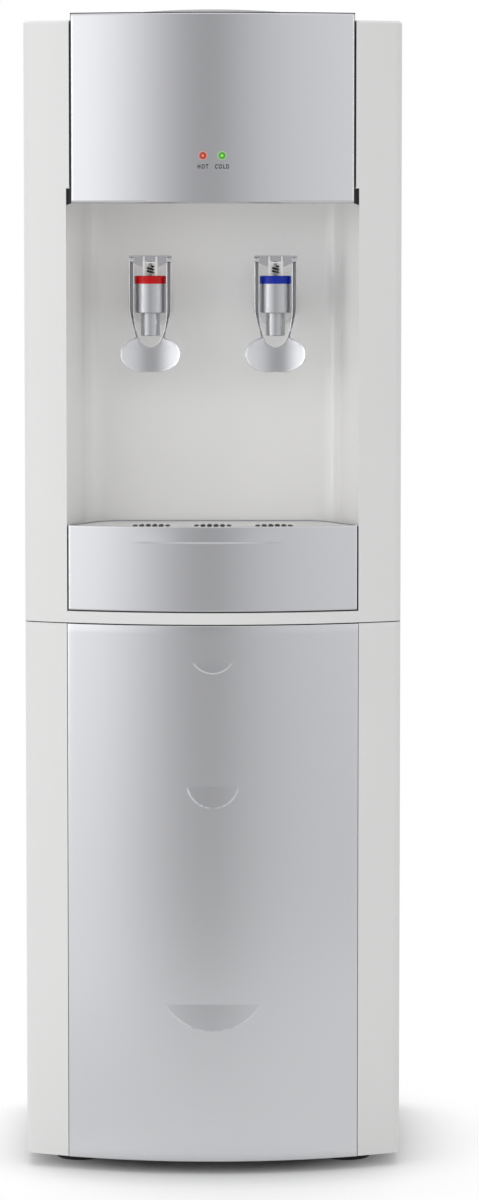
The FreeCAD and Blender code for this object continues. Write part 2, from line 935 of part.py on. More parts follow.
def make_shelf(name, level, front_gap, flange_up, holes):
    """Sheet shelf across the cabinet, with a flange at each side."""
    half = HALF - s.sheet - s.fit_gap
    front, back = FRONT + s.shelf_front + front_gap, BACK_SKIN - s.sheet - s.fit_gap
    if flange_up:
        low, high, floor = level, level + s.shelf_flange, level
    else:
        low, high, floor = level - s.shelf_flange + s.sheet, level + s.sheet, level
    outer = block(f"{name}_outer", (-half, half), (front, back), (low, high))
    if flange_up:
        hollow = (floor + s.sheet, high + 1)
    else:
        hollow = (low - 1, floor)
    inner = block(f"{name}_inner", (s.sheet - half, half - s.sheet), (front - 1, back + 1), hollow)
    node(name, cut(f"{name}_cut", outer, [inner] + holes))


# ---------------------------------------------------------------- upper front and top


def make_upper_frame():
    """Two hollow columns, the lip under the tray and the wall behind the upper panel."""
    back = CLOSE - s.fit_gap
    outer = bow_block("frame_outer", HALF, 0, s.corner_round, back, SEAM, COLUMN_TOP)
    rounded = bevel_part("frame_bevelled", outer, s.top_edge_round, frame_top_edge)
    half_panel = s.panel_opening / 2
    inner_half = NICHE_HALF + s.shell
    liner_top = NICHE_TOP + s.liner_wall + s.fit_gap
    hollow = bow_block("frame_hollow", HALF - s.shell, s.shell, s.corner_round - s.shell,
                       back + 1, SEAM + s.shell, COLUMN_TOP - s.shell)
    windows = [block("lip_window", (-NICHE_HALF, NICHE_HALF), (FRONT, FRAME_END + 1),
                     (SEAM, LIP_TOP - s.shell))]
    for name, low, high, near in (
            ("low", SEAM, liner_top, inner_half),
            ("high", liner_top, COLUMN_TOP, half_panel + s.shell)):
        for side, reach in (("left", (-HALF, -near)), ("right", (near, HALF))):
            windows.append(block(f"window_{name}_{side}", reach, (FRONT, back + 2), (low, high)))
    tools = [common("column_hollow", [hollow, fuse("column_windows", windows)])]
    tools.append(block("panel_opening", (-half_panel, half_panel), (FRONT - 1, back + 1),
                       (LIP_TOP, COLUMN_TOP + 1)))
    tools.append(block("niche_opening", (-NICHE_HALF, NICHE_HALF), (FRONT - 1, back + 1),
                       (LIP_TOP, NICHE_TOP)))
    tools.append(block("frame_rear", (-inner_half, inner_half), (FRAME_END, back + 1),
                       (SEAM - 1, liner_top)))
    shell = cut("frame_shell", rounded, tools)
    wall = bow_skin("frame_backing", half_panel + s.shell / 2, s.backing_depth, BACKING,
                    NICHE_TOP + s.shell, COLUMN_TOP)
    boss = rod("upper_boss", s.hinge_boss, HINGE_X, HINGE_Y, SEAM, s.hinge_pin_reach)
    bore = rod("upper_bore", s.hinge_pin_radius, HINGE_X, HINGE_Y, SEAM - 1, s.hinge_pin_reach + 2)
    lamps = [rod(f"backing_lamp_{index}", s.lamp_radius + s.fit_gap, x, FRONT, LAMP_Z,
                 s.frame_depth, "y") for index, x in enumerate(lamp_places())]
    pegs = [rod(f"board_peg_{index}", s.lamp_radius, x, bow_at(0, s.backing_depth + 1), LAMP_Z,
                LAMP_BOARD_Y - s.fit_gap - bow_at(0, s.backing_depth + 1), "y")
            for index, x in enumerate((-board_peg_x(), board_peg_x()))]
    supports = [skin_support(f"skin_support_{index}", x) for index, x in enumerate(SKIN_SUPPORTS)]
    whole = fuse("frame_whole", [shell, wall, boss] + pegs + supports)
    node("upper_front_frame", cut("frame_cut", whole, [bore] + lamps))


def frame_top_edge(edge):
    """The top outer edges of the frame, and none at its back."""
    box = edge.BoundBox
    level = abs(box.ZMin - COLUMN_TOP.value) < 0.01 and box.ZLength < 0.01
    rear = abs(box.YMin - (CLOSE - s.fit_gap).value) < 0.01 and box.YLength < 0.01
    return level and not rear


SKIN_SUPPORTS = (-0.8, -0.3, 0.3, 0.8)
LAMP_Z = PANEL_TOP - s.lamp_drop
LAMP_BOARD_Y = bow_at(0, BACKING) + s.shell


def skin_support(name, share):
    """Upright rib between the backing wall and the silver panel."""
    half = s.panel_width / 2 * share
    rib = block(f"{name}_block", (half - s.shell / 2, half + s.shell / 2), (FRONT, CLOSE),
                (NICHE_TOP + s.shell, COLUMN_TOP))
    band = bow_skin(f"{name}_band", s.panel_width / 2 - s.shell, s.shell + s.fit_gap,
                    s.backing_depth + 1, NICHE_TOP + s.shell, COLUMN_TOP - s.shell)
    return common(name, [rib, band])


def lamp_places():
    """Where the two lamps lie, left then right."""
    return [s.lamp_spacing / -2, s.lamp_spacing / 2]


def board_peg_x():
    """Where the two pegs of the lamp board lie."""
    return s.lamp_board_width / 2 - s.lamp_radius * 1.5


def make_upper_panel():
    """Bowed silver panel with returns at its four edges."""
    half = s.panel_width / 2
    outer = bow_skin("panel_outer", half, 0, s.panel_return, PANEL_LOW, PANEL_TOP)
    inner = bow_skin("panel_inner", half - s.shell, s.shell, s.panel_return + 2,
                     PANEL_LOW + s.shell, PANEL_TOP - s.shell)
    holes = [rod(f"panel_lamp_{index}", s.lamp_radius + s.fit_gap / 3, x, FRONT - 1, LAMP_Z,
                 s.frame_depth, "y") for index, x in enumerate(lamp_places())]
    node("upper_panel", cut("panel_cut", outer, [inner] + holes))


def make_lamps():
    """Domed lenses with a flange on the panel, and the board behind them."""
    flange = s.lamp_proud / 2
    for name, x in zip(("lamp_red", "lamp_green"), lamp_places()):
        length = LAMP_BOARD_Y - s.fit_gap - FRONT
        corners = [
            (0, -flange * 2),
            (s.lamp_radius * 0.6, -flange * 1.6),
            (s.lamp_radius, -flange),
            (s.lamp_flange, -flange),
            (s.lamp_flange, 0),
            (s.lamp_radius, 0),
            (s.lamp_radius, length),
            (0, length),
        ]
        node(name, revolve(name, corners, x, FRONT, LAMP_Z, "y"))
    half = s.lamp_board_width / 2
    low = LAMP_Z - s.lamp_board_height / 2
    node("lamp_board", block("board", (-half, half), (LAMP_BOARD_Y, LAMP_BOARD_Y + s.board_wall),
                             (low, low + s.lamp_board_height)))


def vault(name, half, top, drop, front, back):
    """Slab with a vaulted top; drop is how far its underside lies below, and is vaulted too."""
    body = doc.addObject("PartDesign::Body", name)
    rise = s.crown_rise
    radius = (half * half + rise * rise) / (rise * 2)
    corners = [
        (-half, top, radius, -1),
        (half, top),
        (half, top - drop, radius, 1),
        (-half, top - drop),
    ]
    sketch = outline(body, f"{name}_section", "XZ_Plane", -as_size(back), corners)
    pad(body, f"{name}_pad", sketch, as_size(back) - front)
    return body


def solid_vault(name, half, top, low, front, back):
    """Solid under the vault, down to a level."""
    body = doc.addObject("PartDesign::Body", name)
    rise = s.crown_rise
    radius = (half * half + rise * rise) / (rise * 2)
    corners = [(-half, top, radius, -1), (half, top), (half, low), (-half, low)]
    sketch = outline(body, f"{name}_section", "XZ_Plane", -as_size(back), corners)
    pad(body, f"{name}_pad", sketch, as_size(back) - front)
    return body


def make_top_cover():
    """Vaulted cover with flat sides and a skirt down the back."""
    half = s.panel_opening / 2 - s.fit_gap
    wall = s.liner_wall
    near = BACKING + s.fit_gap
    rear = BACK + s.fit_gap + wall
    low = COLUMN_TOP - wall
    inside = rod("cover_front", s.bow_radius - near, 0, BOW_Y, low - s.pan_flange,
                 s.pan_flange + s.crown_rise * 3)
    behind = block("cover_zone", (-HALF, HALF), (FRONT, rear),
                   (low - s.pan_flange, COLUMN_TOP + s.crown_rise * 3))
    arch = common("cover_arch", [vault("arch", half, COLUMN_TOP, wall, FRONT, rear), inside])
    filled = solid_vault("cover_filled", half, COLUMN_TOP, low, FRONT, rear)
    lip = bow_skin("cover_lip", half, near, near + wall, low, COLUMN_TOP + s.crown_rise + 1)
    front_wall = common("cover_front_wall", [filled, lip, behind])
    wings = block("cover_wings", (-HALF, HALF), (CLOSE, rear), (low, COLUMN_TOP))
    gap = block("cover_gap", (-half + wall, half - wall), (CLOSE - 1, rear + 1),
                (low - 1, COLUMN_TOP + 1))
    flat = cut("cover_flat", round_part("wings_round", wings, s.top_edge_round, wing_edge), [gap])
    tail_front = BACK + s.fit_gap
    tail = block("cover_tail", (-HALF, HALF), (tail_front, rear),
                 (low - s.pan_flange, COLUMN_TOP - s.top_edge_round))
    tail_arch = solid_vault("cover_tail_arch", half, COLUMN_TOP, low - s.pan_flange, tail_front,
                            rear)
    node("top_cover", fuse("cover", [arch, front_wall, flat, tail, tail_arch]))


def wing_edge(edge):
    """The long outer top edges of the cover's flat sides."""
    box = edge.BoundBox
    high = abs(box.ZMin - COLUMN_TOP.value) < 0.01 and box.ZLength < 0.01
    return high and box.XLength < 0.01 and abs(abs(box.XMin) - HALF.value) < 0.01


def niche_corners(grow):
    """Plan of the niche, grown outwards by grow, from the frame's back to the niche wall."""
    front = FRAME_END + s.fit_gap
    half, back_half = NICHE_HALF + grow, s.niche_back_width / 2 + grow
    return [(-half, front), (half, front), (back_half, NICHE_BACK + grow),
            (-back_half, NICHE_BACK + grow)]


def make_niche_liner():
    body = doc.addObject("PartDesign::Body", "niche_body")
    wall = s.liner_wall
    floor, ceiling = LIP_TOP + s.liner_wall / 12, NICHE_TOP
    outer = outline(body, "niche_outer", "XY_Plane", floor - wall, niche_corners(wall))
    solid = pad(body, "niche_pad", outer, ceiling - floor + wall * 2)
    inner = outline(body, "niche_inner", "XY_Plane", floor, niche_corners(0))
    hollow = pocket(body, "niche_pocket", inner, ceiling - floor, backwards=True)
    doc.recompute()
    print("niche cut:", solid.Shape.Volume > hollow.Shape.Volume)
    rounded = fillet(body, "niche_round_in", hollow, s.niche_round,
                     upright_at(s.niche_back_width / 2, NICHE_BACK))
    fillet(body, "niche_round_out", rounded, s.niche_round + wall,
           upright_at(s.niche_back_width / 2 + wall, NICHE_BACK + wall))
    holes = [rod(f"shank_hole_{index}", s.shank_radius + s.fit_gap, x, NICHE_BACK - 1,
                 s.tap_height, wall + 2, "y")
             for index, x in enumerate((s.tap_spacing / -2, s.tap_spacing / 2))]
    node("niche_liner", cut("niche_cut", body, holes))


# ---------------------------------------------------------------- bottle compartment

PROBE_X = s.probe_side_gap - HALF
PROBE_Y = BACK - s.bay_back - s.probe_back
BAY_FLOOR = s.foot_height + s.sheet + s.fit_gap
BAY_BACK = BACK - s.bay_back


def make_bottle_liner():
    """Moulded compartment: low ceiling under the tray, high one behind it, and the dock."""
    wall = s.liner_wall
    half = s.bay_width / 2
    front = CLOSE + s.sheet + s.fit_gap
    step = NICHE_BACK - s.fit_gap + wall * 2 + 1
    edge = (s.sheet + s.fit_gap) * 2
    low_ceiling = SEAM + s.bay_low_ceiling - wall
    outer = fuse("bay_outer", [
        block("bay_outer_low", (-half - wall, half + wall), (front, BAY_BACK + wall),
              (BAY_FLOOR, low_ceiling + wall)),
        block("bay_outer_high", (-half - wall, half + wall), (step - wall, BAY_BACK + wall),
              (BAY_FLOOR, BAY_FLOOR + s.bay_high_ceiling)),
        block("bay_flange", (edge - HALF, HALF - edge),
              (front, front + wall), (BAY_FLOOR, low_ceiling + wall)),
    ])
    inner = fuse("bay_inner", [
        block("bay_inner_low", (-half, half), (front - 1, BAY_BACK),
              (BAY_FLOOR + wall, low_ceiling)),
        block("bay_inner_high", (-half, half), (step, BAY_BACK),
              (BAY_FLOOR + wall, BAY_FLOOR + s.bay_high_ceiling - wall)),
    ])
    shell = cut("bay_shell", outer, [inner])
    dock_top = s.probe_level - s.fit_gap
    dock = block("dock_plate", (-half - wall / 2, PROBE_X + s.probe_cap_radius),
                 (PROBE_Y - s.probe_cap_radius, BAY_BACK + wall / 2),
                 (dock_top - s.dock_wall, dock_top))
    whole = fuse("bay_whole", [shell, dock])
    tools = [
        rod("dock_bore", s.dock_hole, PROBE_X, PROBE_Y, dock_top - s.dock_wall - 1,
            s.dock_wall + 2),
        rod("ceiling_hole", s.hose_radius + s.fit_gap, HOSE_X, HOSE_Y,
            BAY_FLOOR + s.bay_high_ceiling - wall - 1, wall + 2),
    ]
    node("bottle_liner", cut("bay_cut", whole, tools))


PUMP_X = HALF - s.pump_side_gap
PUMP_Y = BACK_SKIN - s.pump_back_gap
HOSE_X = -PUMP_X
HOSE_Y = PUMP_Y - s.pump_depth / 2 - s.hose_radius * 4


def make_probe():
    """Capped suction tube that hangs in the dock, with a spigot on top for its hose."""
    tube_radius = s.probe_tube_radius
    corners = [
        (0, -s.probe_length),
        (tube_radius * 0.6, -s.probe_length),
        (tube_radius, tube_radius * 0.6 - s.probe_length),
        (tube_radius, 0),
        (s.probe_cap_radius, 0),
        (s.probe_cap_radius, s.probe_cap_height - 2),
        (s.probe_cap_radius - 2, s.probe_cap_height),
        (s.hose_radius, s.probe_cap_height),
        (s.hose_radius, s.probe_cap_height + s.elbow_height),
        (0, s.probe_cap_height + s.elbow_height),
    ]
    node("suction_probe", revolve("probe", corners, PROBE_X, PROBE_Y, s.probe_level))
    top = s.probe_level + s.probe_cap_height + s.elbow_height
    ceiling = BAY_FLOOR + s.bay_high_ceiling
    rise = (ceiling - top) / 2
    hose = tube("probe_hose_tube", [
        (PROBE_X, PROBE_Y, top),
        (PROBE_X, PROBE_Y, top + rise),
        (HOSE_X, HOSE_Y, top + rise),
        (HOSE_X, HOSE_Y, ceiling),
    ], s.hose_radius - 1, rise * 0.55)
    node("probe_hose", hose)


# ---------------------------------------------------------------- door


def grip_box(name, grow, over):
    """Finger scoop at the free edge of the door, grown by its wall, and how far it runs out."""
    return block(name, (-HALF - over, s.grip_width + grow - HALF),
                 (DOOR_BACK - s.grip_depth - grow, DOOR_BACK + over),
                 (s.grip_level - grow, s.grip_level + s.grip_height + grow))


def make_door_frame():
    back_round = s.hinge_inset
    outer = bow_block("door_outer", HALF, 0, s.corner_round, DOOR_BACK, DOOR_LOW, DOOR_TOP,
                      back_round)
    recess_depth = s.skin_wall + s.fit_gap
    recess = bow_skin("door_recess", NICHE_HALF + s.fit_gap, -2, recess_depth,
                      DOOR_LOW - 1, DOOR_TOP + 1)
    inset = recess_depth + s.shell
    low, high = DOOR_LOW + s.shell, DOOR_TOP - s.shell
    hollow = bow_block("door_hollow", HALF - s.shell, inset, s.corner_round - s.shell,
                       DOOR_BACK - s.shell, low, high, back_round - s.shell)
    mouth = s.fit_gap + back_round - HALF
    opening = block("door_mouth", (mouth, -mouth), (DOOR_BACK - s.shell - 1, DOOR_BACK + 1),
                    (low, high))
    shell = cut("door_shell", outer, [recess, hollow, opening])
    boss_reach = s.hinge_pin_reach + s.shell
    bosses = []
    for name, base in (("low", DOOR_LOW), ("top", DOOR_TOP - boss_reach)):
        bosses.append(block(f"hinge_boss_{name}",
                            (HINGE_X - s.hinge_boss, HALF - s.shell / 2),
                            (HINGE_Y - s.hinge_boss, DOOR_BACK - s.shell - s.fit_gap),
                            (base, base + boss_reach)))
    inside = bow_block("door_keep", HALF, 0, s.corner_round, DOOR_BACK, DOOR_LOW, DOOR_TOP,
                       back_round)
    bosses.append(grip_box("grip_wall", s.liner_wall, 0))
    kept = common("door_bosses", [fuse("boss_pair", bosses), inside])
    whole = fuse("door_whole", [shell, kept])
    bore = s.hinge_pin_radius + s.hinge_running
    bores = [
        rod("door_bore_low", bore, HINGE_X, HINGE_Y, DOOR_LOW - 1, s.hinge_pin_reach + 2),
        rod("door_bore_top", bore, HINGE_X, HINGE_Y, DOOR_TOP - s.hinge_pin_reach - 1,
            s.hinge_pin_reach + 2),
    ]
    node("door_frame", cut("door_cut", whole, bores + [grip_box("grip_hollow", 0, 1)]))


def dimple(number):
    """Raised crescent: straight on top, standing out more towards its round bottom edge."""
    width = getattr(s, f"dimple_{number}_width")
    height = getattr(s, f"dimple_{number}_height")
    rise = getattr(s, f"dimple_{number}_rise")
    top = DOOR_TOP - getattr(s, f"dimple_{number}_top")
    half = width / 2
    radius = (half * half + height * height) / (height * 2)
    name = f"dimple_{number}"
    disc = rod(f"{name}_disc", radius, 0, FRONT - rise * 2, top - height + radius,
               rise * 2 + s.skin_wall * 0.9, "y")
    window = block(f"{name}_window", (-half, half), (FRONT - rise * 3, FRONT + s.skin_wall),
                   (top - height, top))
    slope = cone(f"{name}_slope", s.bow_radius + rise, s.bow_radius + rise / 10, 0, BOW_Y,
                 top - height, height)
    return common(name, [disc, window, slope])


def make_door_skin():
    skin = bow_skin("skin", NICHE_HALF, 0, s.skin_wall, DOOR_LOW - s.skin_drop, DOOR_TOP)
    node("door_skin", fuse("skin_whole", [skin] + [dimple(number) for number in (1, 2, 3)]))


def make_door_inner():
    """Flat inner panel with a deep dish that makes room for the bottle."""
    body = doc.addObject("PartDesign::Body", "inner_body")
    wall = s.liner_wall
    half = HALF - s.hinge_inset - s.fit_gap * 2
    dish, sag = s.dish_half_width, s.dish_depth
    back = DOOR_BACK
    radius = (dish * dish + sag * sag) / (sag * 2)
    outer_half = dish + wall
    corners = [
        (-half, back),
        (-half, back - wall),
        (-outer_half, back - wall, radius + wall / 2, 1),
        (outer_half, back - wall),
        (half, back - wall),
        (half, back),
        (dish, back, radius, -1),
        (-dish, back),
    ]
    low, high = DOOR_LOW + s.shell + s.fit_gap, DOOR_TOP - s.shell - s.fit_gap
    plan = outline(body, "inner_plan", "XY_Plane", low, corners)
    pad(body, "inner_pad", plan, high - low)
    node("door_inner_panel", body)


def catch_x():
    """Middle of the magnetic catch, near the free edge of the door."""
    return s.hinge_inset + s.catch_width - HALF


def bracket_wall():
    """Thickness of the lower hinge bracket."""
    return s.shell


def make_hinges_and_catch():
    half = s.catch_width / 2
    low = s.catch_level
    middle = catch_x()
    strike_front = CLOSE + s.fit_gap / 3
    node("door_magnet", block("magnet", (middle - half, middle + half),
                              (DOOR_BACK, CLOSE - s.fit_gap), (low, low + s.catch_height)))
    node("strike_plate", block("strike", (middle - half, middle + half),
                               (strike_front, CLOSE + s.sheet + s.fit_gap),
                               (low, low + s.catch_height)))
    wall = bracket_wall()
    plate_half = s.hinge_boss
    plate_back = CLOSE + s.hinge_depth * 3
    plate = block("bracket_plate", (HINGE_X - plate_half, HINGE_X + plate_half),
                  (HINGE_Y - plate_half, plate_back), (s.foot_height - wall, s.foot_height))
    pin = rod("bracket_pin", s.hinge_pin_radius, HINGE_X, HINGE_Y, s.foot_height - wall,
              wall + s.hinge_pin_reach)
    holes = [rod(f"plate_hole_{index}", s.screw_shank + s.fit_gap / 3, x, y,
                 s.foot_height - wall - 1, wall + 2)
             for index, (x, y) in enumerate(bracket_screw_places())]
    node("lower_hinge_bracket", cut("bracket", fuse("bracket_whole", [plate, pin]), holes))
    node("upper_hinge_pin", rod("upper_pin", s.hinge_pin_radius, HINGE_X, HINGE_Y,
                                DOOR_TOP - s.hinge_pin_reach + s.fit_gap,
                                s.hinge_pin_reach * 2 + s.seam_gap - s.fit_gap * 2))


# ---------------------------------------------------------------- drip tray


def tray_corners(gap):
    """Plan of the tray behind its silver front, inside the niche by gap all round."""
    side = NICHE_HALF - s.tray_side_gap - gap
    back_half = s.niche_back_width / 2 - s.tray_gap - gap
    back = NICHE_BACK - s.tray_gap - gap
    near = s.tray_skin + s.fit_gap + gap
    return [
        (-side, bow_at(side, near), s.bow_radius - near, 1),
        (side, bow_at(side, near)),
        (side, FRAME_END),
        (back_half, back),
        (-back_half, back),
        (-side, FRAME_END),
    ]


GRILLE_TOP = TRAY_TOP - s.grille_sink
GRILLE_LOW = GRILLE_TOP - s.grille_wall


def make_tray():
    body = doc.addObject("PartDesign::Body", "tray_body")
    top = GRILLE_LOW - s.fit_gap
    plan = outline(body, "tray_plan", "XY_Plane", TRAY_LOW, tray_corners(0))
    solid = pad(body, "tray_pad", plan, top - TRAY_LOW)
    back_half = s.niche_back_width / 2 - s.tray_gap
    wall = s.tray_wall
    inner = outline(body, "tray_inner", "XY_Plane", TRAY_LOW + wall, tray_corners(wall))
    hollow = pocket(body, "tray_pocket", inner, top - TRAY_LOW, backwards=True)
    doc.recompute()
    print("tray cut:", solid.Shape.Volume > hollow.Shape.Volume)
    rounded = fillet(body, "tray_round_in", hollow, s.niche_round - wall,
                     upright_at(back_half - wall, NICHE_BACK - s.tray_gap - wall))
    fillet(body, "tray_round_out", rounded, s.niche_round,
           upright_at(back_half, NICHE_BACK - s.tray_gap))
    node("drip_tray", body)
    node("tray_front", bow_skin("tray_skin", NICHE_HALF - s.tray_side_gap, 0, s.tray_skin,
                                TRAY_LOW, TRAY_TOP))


def make_grille():
    """Slotted plate, a cluster of slots under each tap and one between them."""
    body = doc.addObject("PartDesign::Body", "grille_body")
    plan = outline(body, "grille_plan", "XY_Plane", GRILLE_LOW, tray_corners(0))
    solid = pad(body, "grille_pad", plan, s.grille_wall)
    fillet(body, "grille_round", solid, s.niche_round,
           upright_at(s.niche_back_width / 2 - s.tray_gap, NICHE_BACK - s.tray_gap))
    skirt_top = GRILLE_LOW + s.grille_wall / 2
    skirt = doc.addObject("PartDesign::Body", "skirt_body")
    inset = s.tray_wall + s.fit_gap * 2
    ring = outline(skirt, "skirt_plan", "XY_Plane", GRILLE_LOW - s.tray_wall * 2,
                   tray_corners(inset))
    skirt_pad = pad(skirt, "skirt_pad", ring, skirt_top - GRILLE_LOW + s.tray_wall * 2)
    fillet(skirt, "skirt_round", skirt_pad, s.niche_round - inset,
           upright_at(s.niche_back_width / 2 - s.tray_gap - inset,
                      NICHE_BACK - s.tray_gap - inset))
    core = doc.addObject("PartDesign::Body", "core_body")
    inset = inset + s.tray_wall
    hole = outline(core, "core_plan", "XY_Plane", GRILLE_LOW - s.tray_wall * 3,
                   tray_corners(inset))
    pad(core, "core_pad", hole, s.tray_wall * 3)
    rim = cut("grille_rim", skirt, [core])
    start = FRONT + s.slot_depth
    slots = []
    for cluster in (-1, 0, 1):
        for index in range(SLOT_COUNT):
            middle = s.tap_spacing / 2 * cluster + s.slot_pitch * (index - (SLOT_COUNT - 1) / 2)
            trim = s.slot_pitch * abs(index - (SLOT_COUNT - 1) / 2) / 3
            slots.append(block(f"slot_{cluster + 1}_{index}",
                               (middle - s.slot_width / 2, middle + s.slot_width / 2),
                               (start + trim, start + s.slot_length - trim),
                               (GRILLE_LOW - 1, GRILLE_TOP + 1)))
    node("drip_grille", cut("grille_cut", fuse("grille_whole", [body, rim]), slots))


# ---------------------------------------------------------------- taps


def make_tap_body(name, x):
    """Barrel with its nozzle and the shank that goes through the niche wall."""
    low, top = -s.barrel_bottom, s.barrel_top
    nozzle_low = low - s.nozzle_length
    bevel = s.nozzle_radius * 0.06
    barrel = revolve(f"{name}_barrel", [
        (s.nozzle_bore, nozzle_low),
        (s.nozzle_radius - bevel, nozzle_low),
        (s.nozzle_radius, nozzle_low + bevel),
        (s.nozzle_radius, low),
        (s.barrel_radius - bevel, low),
        (s.barrel_radius, low + bevel),
        (s.barrel_radius, top),
        (s.valve_radius + 1, top),
        (s.valve_radius + 1, s.nozzle_bore * -0.5),
        (s.nozzle_bore, s.nozzle_bore * -0.5),
    ], x, TAP_Y, s.tap_height)
    neck = rod(f"{name}_neck", s.neck_radius, x, TAP_Y + s.barrel_radius * 0.7, s.tap_height,
               s.tap_reach - s.barrel_radius * 0.7, "y")
    shank = rod(f"{name}_shank", s.shank_radius, x, NICHE_BACK - 1, s.tap_height,
                s.shank_length + 1, "y")
    whole = fuse(f"{name}_whole", [barrel, neck, shank])
    bore = rod(f"{name}_way", s.shank_radius / 2, x, TAP_Y + s.valve_radius, s.tap_height,
               s.tap_reach + s.shank_length, "y")
    return cut(f"{name}_solid", whole, [bore])


def make_collar(name, x):
    """Coloured cap that closes the barrel."""
    bevel = s.collar_height * 0.08
    return revolve(name, [
        (s.stem_radius + s.stem_running, 0),
        (s.collar_radius, 0),
        (s.collar_radius, s.collar_height - bevel),
        (s.collar_radius - bevel, s.collar_height),
        (s.stem_radius + s.stem_running, s.collar_height),
    ], x, TAP_Y, BARREL_TOP)


def make_yoke(name, x):
    """Two posts on the collar, the bridge above the spring and the pivot pin."""
    inner, outer = s.post_offset, s.post_offset + s.post_wall
    near = PIVOT_Y - s.post_depth / 2
    posts = [block(f"{name}_post_{index}", (x + low, x + high), (near, near + s.post_depth),
                   (COLLAR_TOP, COLLAR_TOP + s.post_height))
             for index, (low, high) in enumerate(((-outer, -inner), (inner, outer)))]
    bridge_low = COLLAR_TOP + s.bridge_height
    bridge = block(f"{name}_bridge", (x - outer, x + outer), (near, TAP_Y + s.stem_flange + 1),
                   (bridge_low, bridge_low + s.bridge_wall))
    pin = rod(f"{name}_pin", s.pivot_radius, x - s.lever_half - 1, PIVOT_Y, PIVOT_Z,
              s.lever_half * 2 + 2, "x")
    hole = rod(f"{name}_hole", s.stem_radius + s.fit_gap, x, TAP_Y, bridge_low - 1,
               s.bridge_wall + 2)
    return cut(name, fuse(f"{name}_whole", posts + [bridge, pin]), [hole])


def make_stem(name, x):
    """Valve stem with its plug below, the spring's flange and the eye for the lift pin."""
    eye = PIVOT_Z - COLLAR_TOP
    bridge_top = s.bridge_height + s.bridge_wall
    head_low = bridge_top + s.fit_gap
    low = s.fit_gap - s.collar_height - s.barrel_top - s.nozzle_bore * 0.5
    flange_low, flange_top = s.fit_gap * 4, s.fit_gap * 4 + 1
    turned = revolve(f"{name}_turned", [
        (0, low),
        (s.valve_radius, low),
        (s.valve_radius, low + s.valve_height),
        (s.stem_radius, low + s.valve_height),
        (s.stem_radius, flange_low),
        (s.stem_flange, flange_low),
        (s.stem_flange, flange_top),
        (s.stem_radius, flange_top),
        (s.stem_radius, head_low),
        (s.stem_head, head_low),
        (s.stem_head, eye + s.stem_head - s.fit_gap),
        (0, eye + s.stem_head - s.fit_gap),
    ], x, TAP_Y, COLLAR_TOP)
    hole = rod(f"{name}_eye", s.lift_pin_radius + s.lift_pin_play, x - s.stem_head - 1, TAP_Y,
               PIVOT_Z, s.stem_head * 2 + 2, "x")
    return cut(name, turned, [hole])


def make_spring(name, x):
    """Compression spring between the stem's flange and the bridge."""
    low = COLLAR_TOP + s.fit_gap * 4 + 1 + s.fit_gap / 3
    high = COLLAR_TOP + s.bridge_height - s.fit_gap / 3
    return coil(name, s.spring_radius, s.spring_wire, 1.7, SPRING_TURNS, x, TAP_Y, low, high)


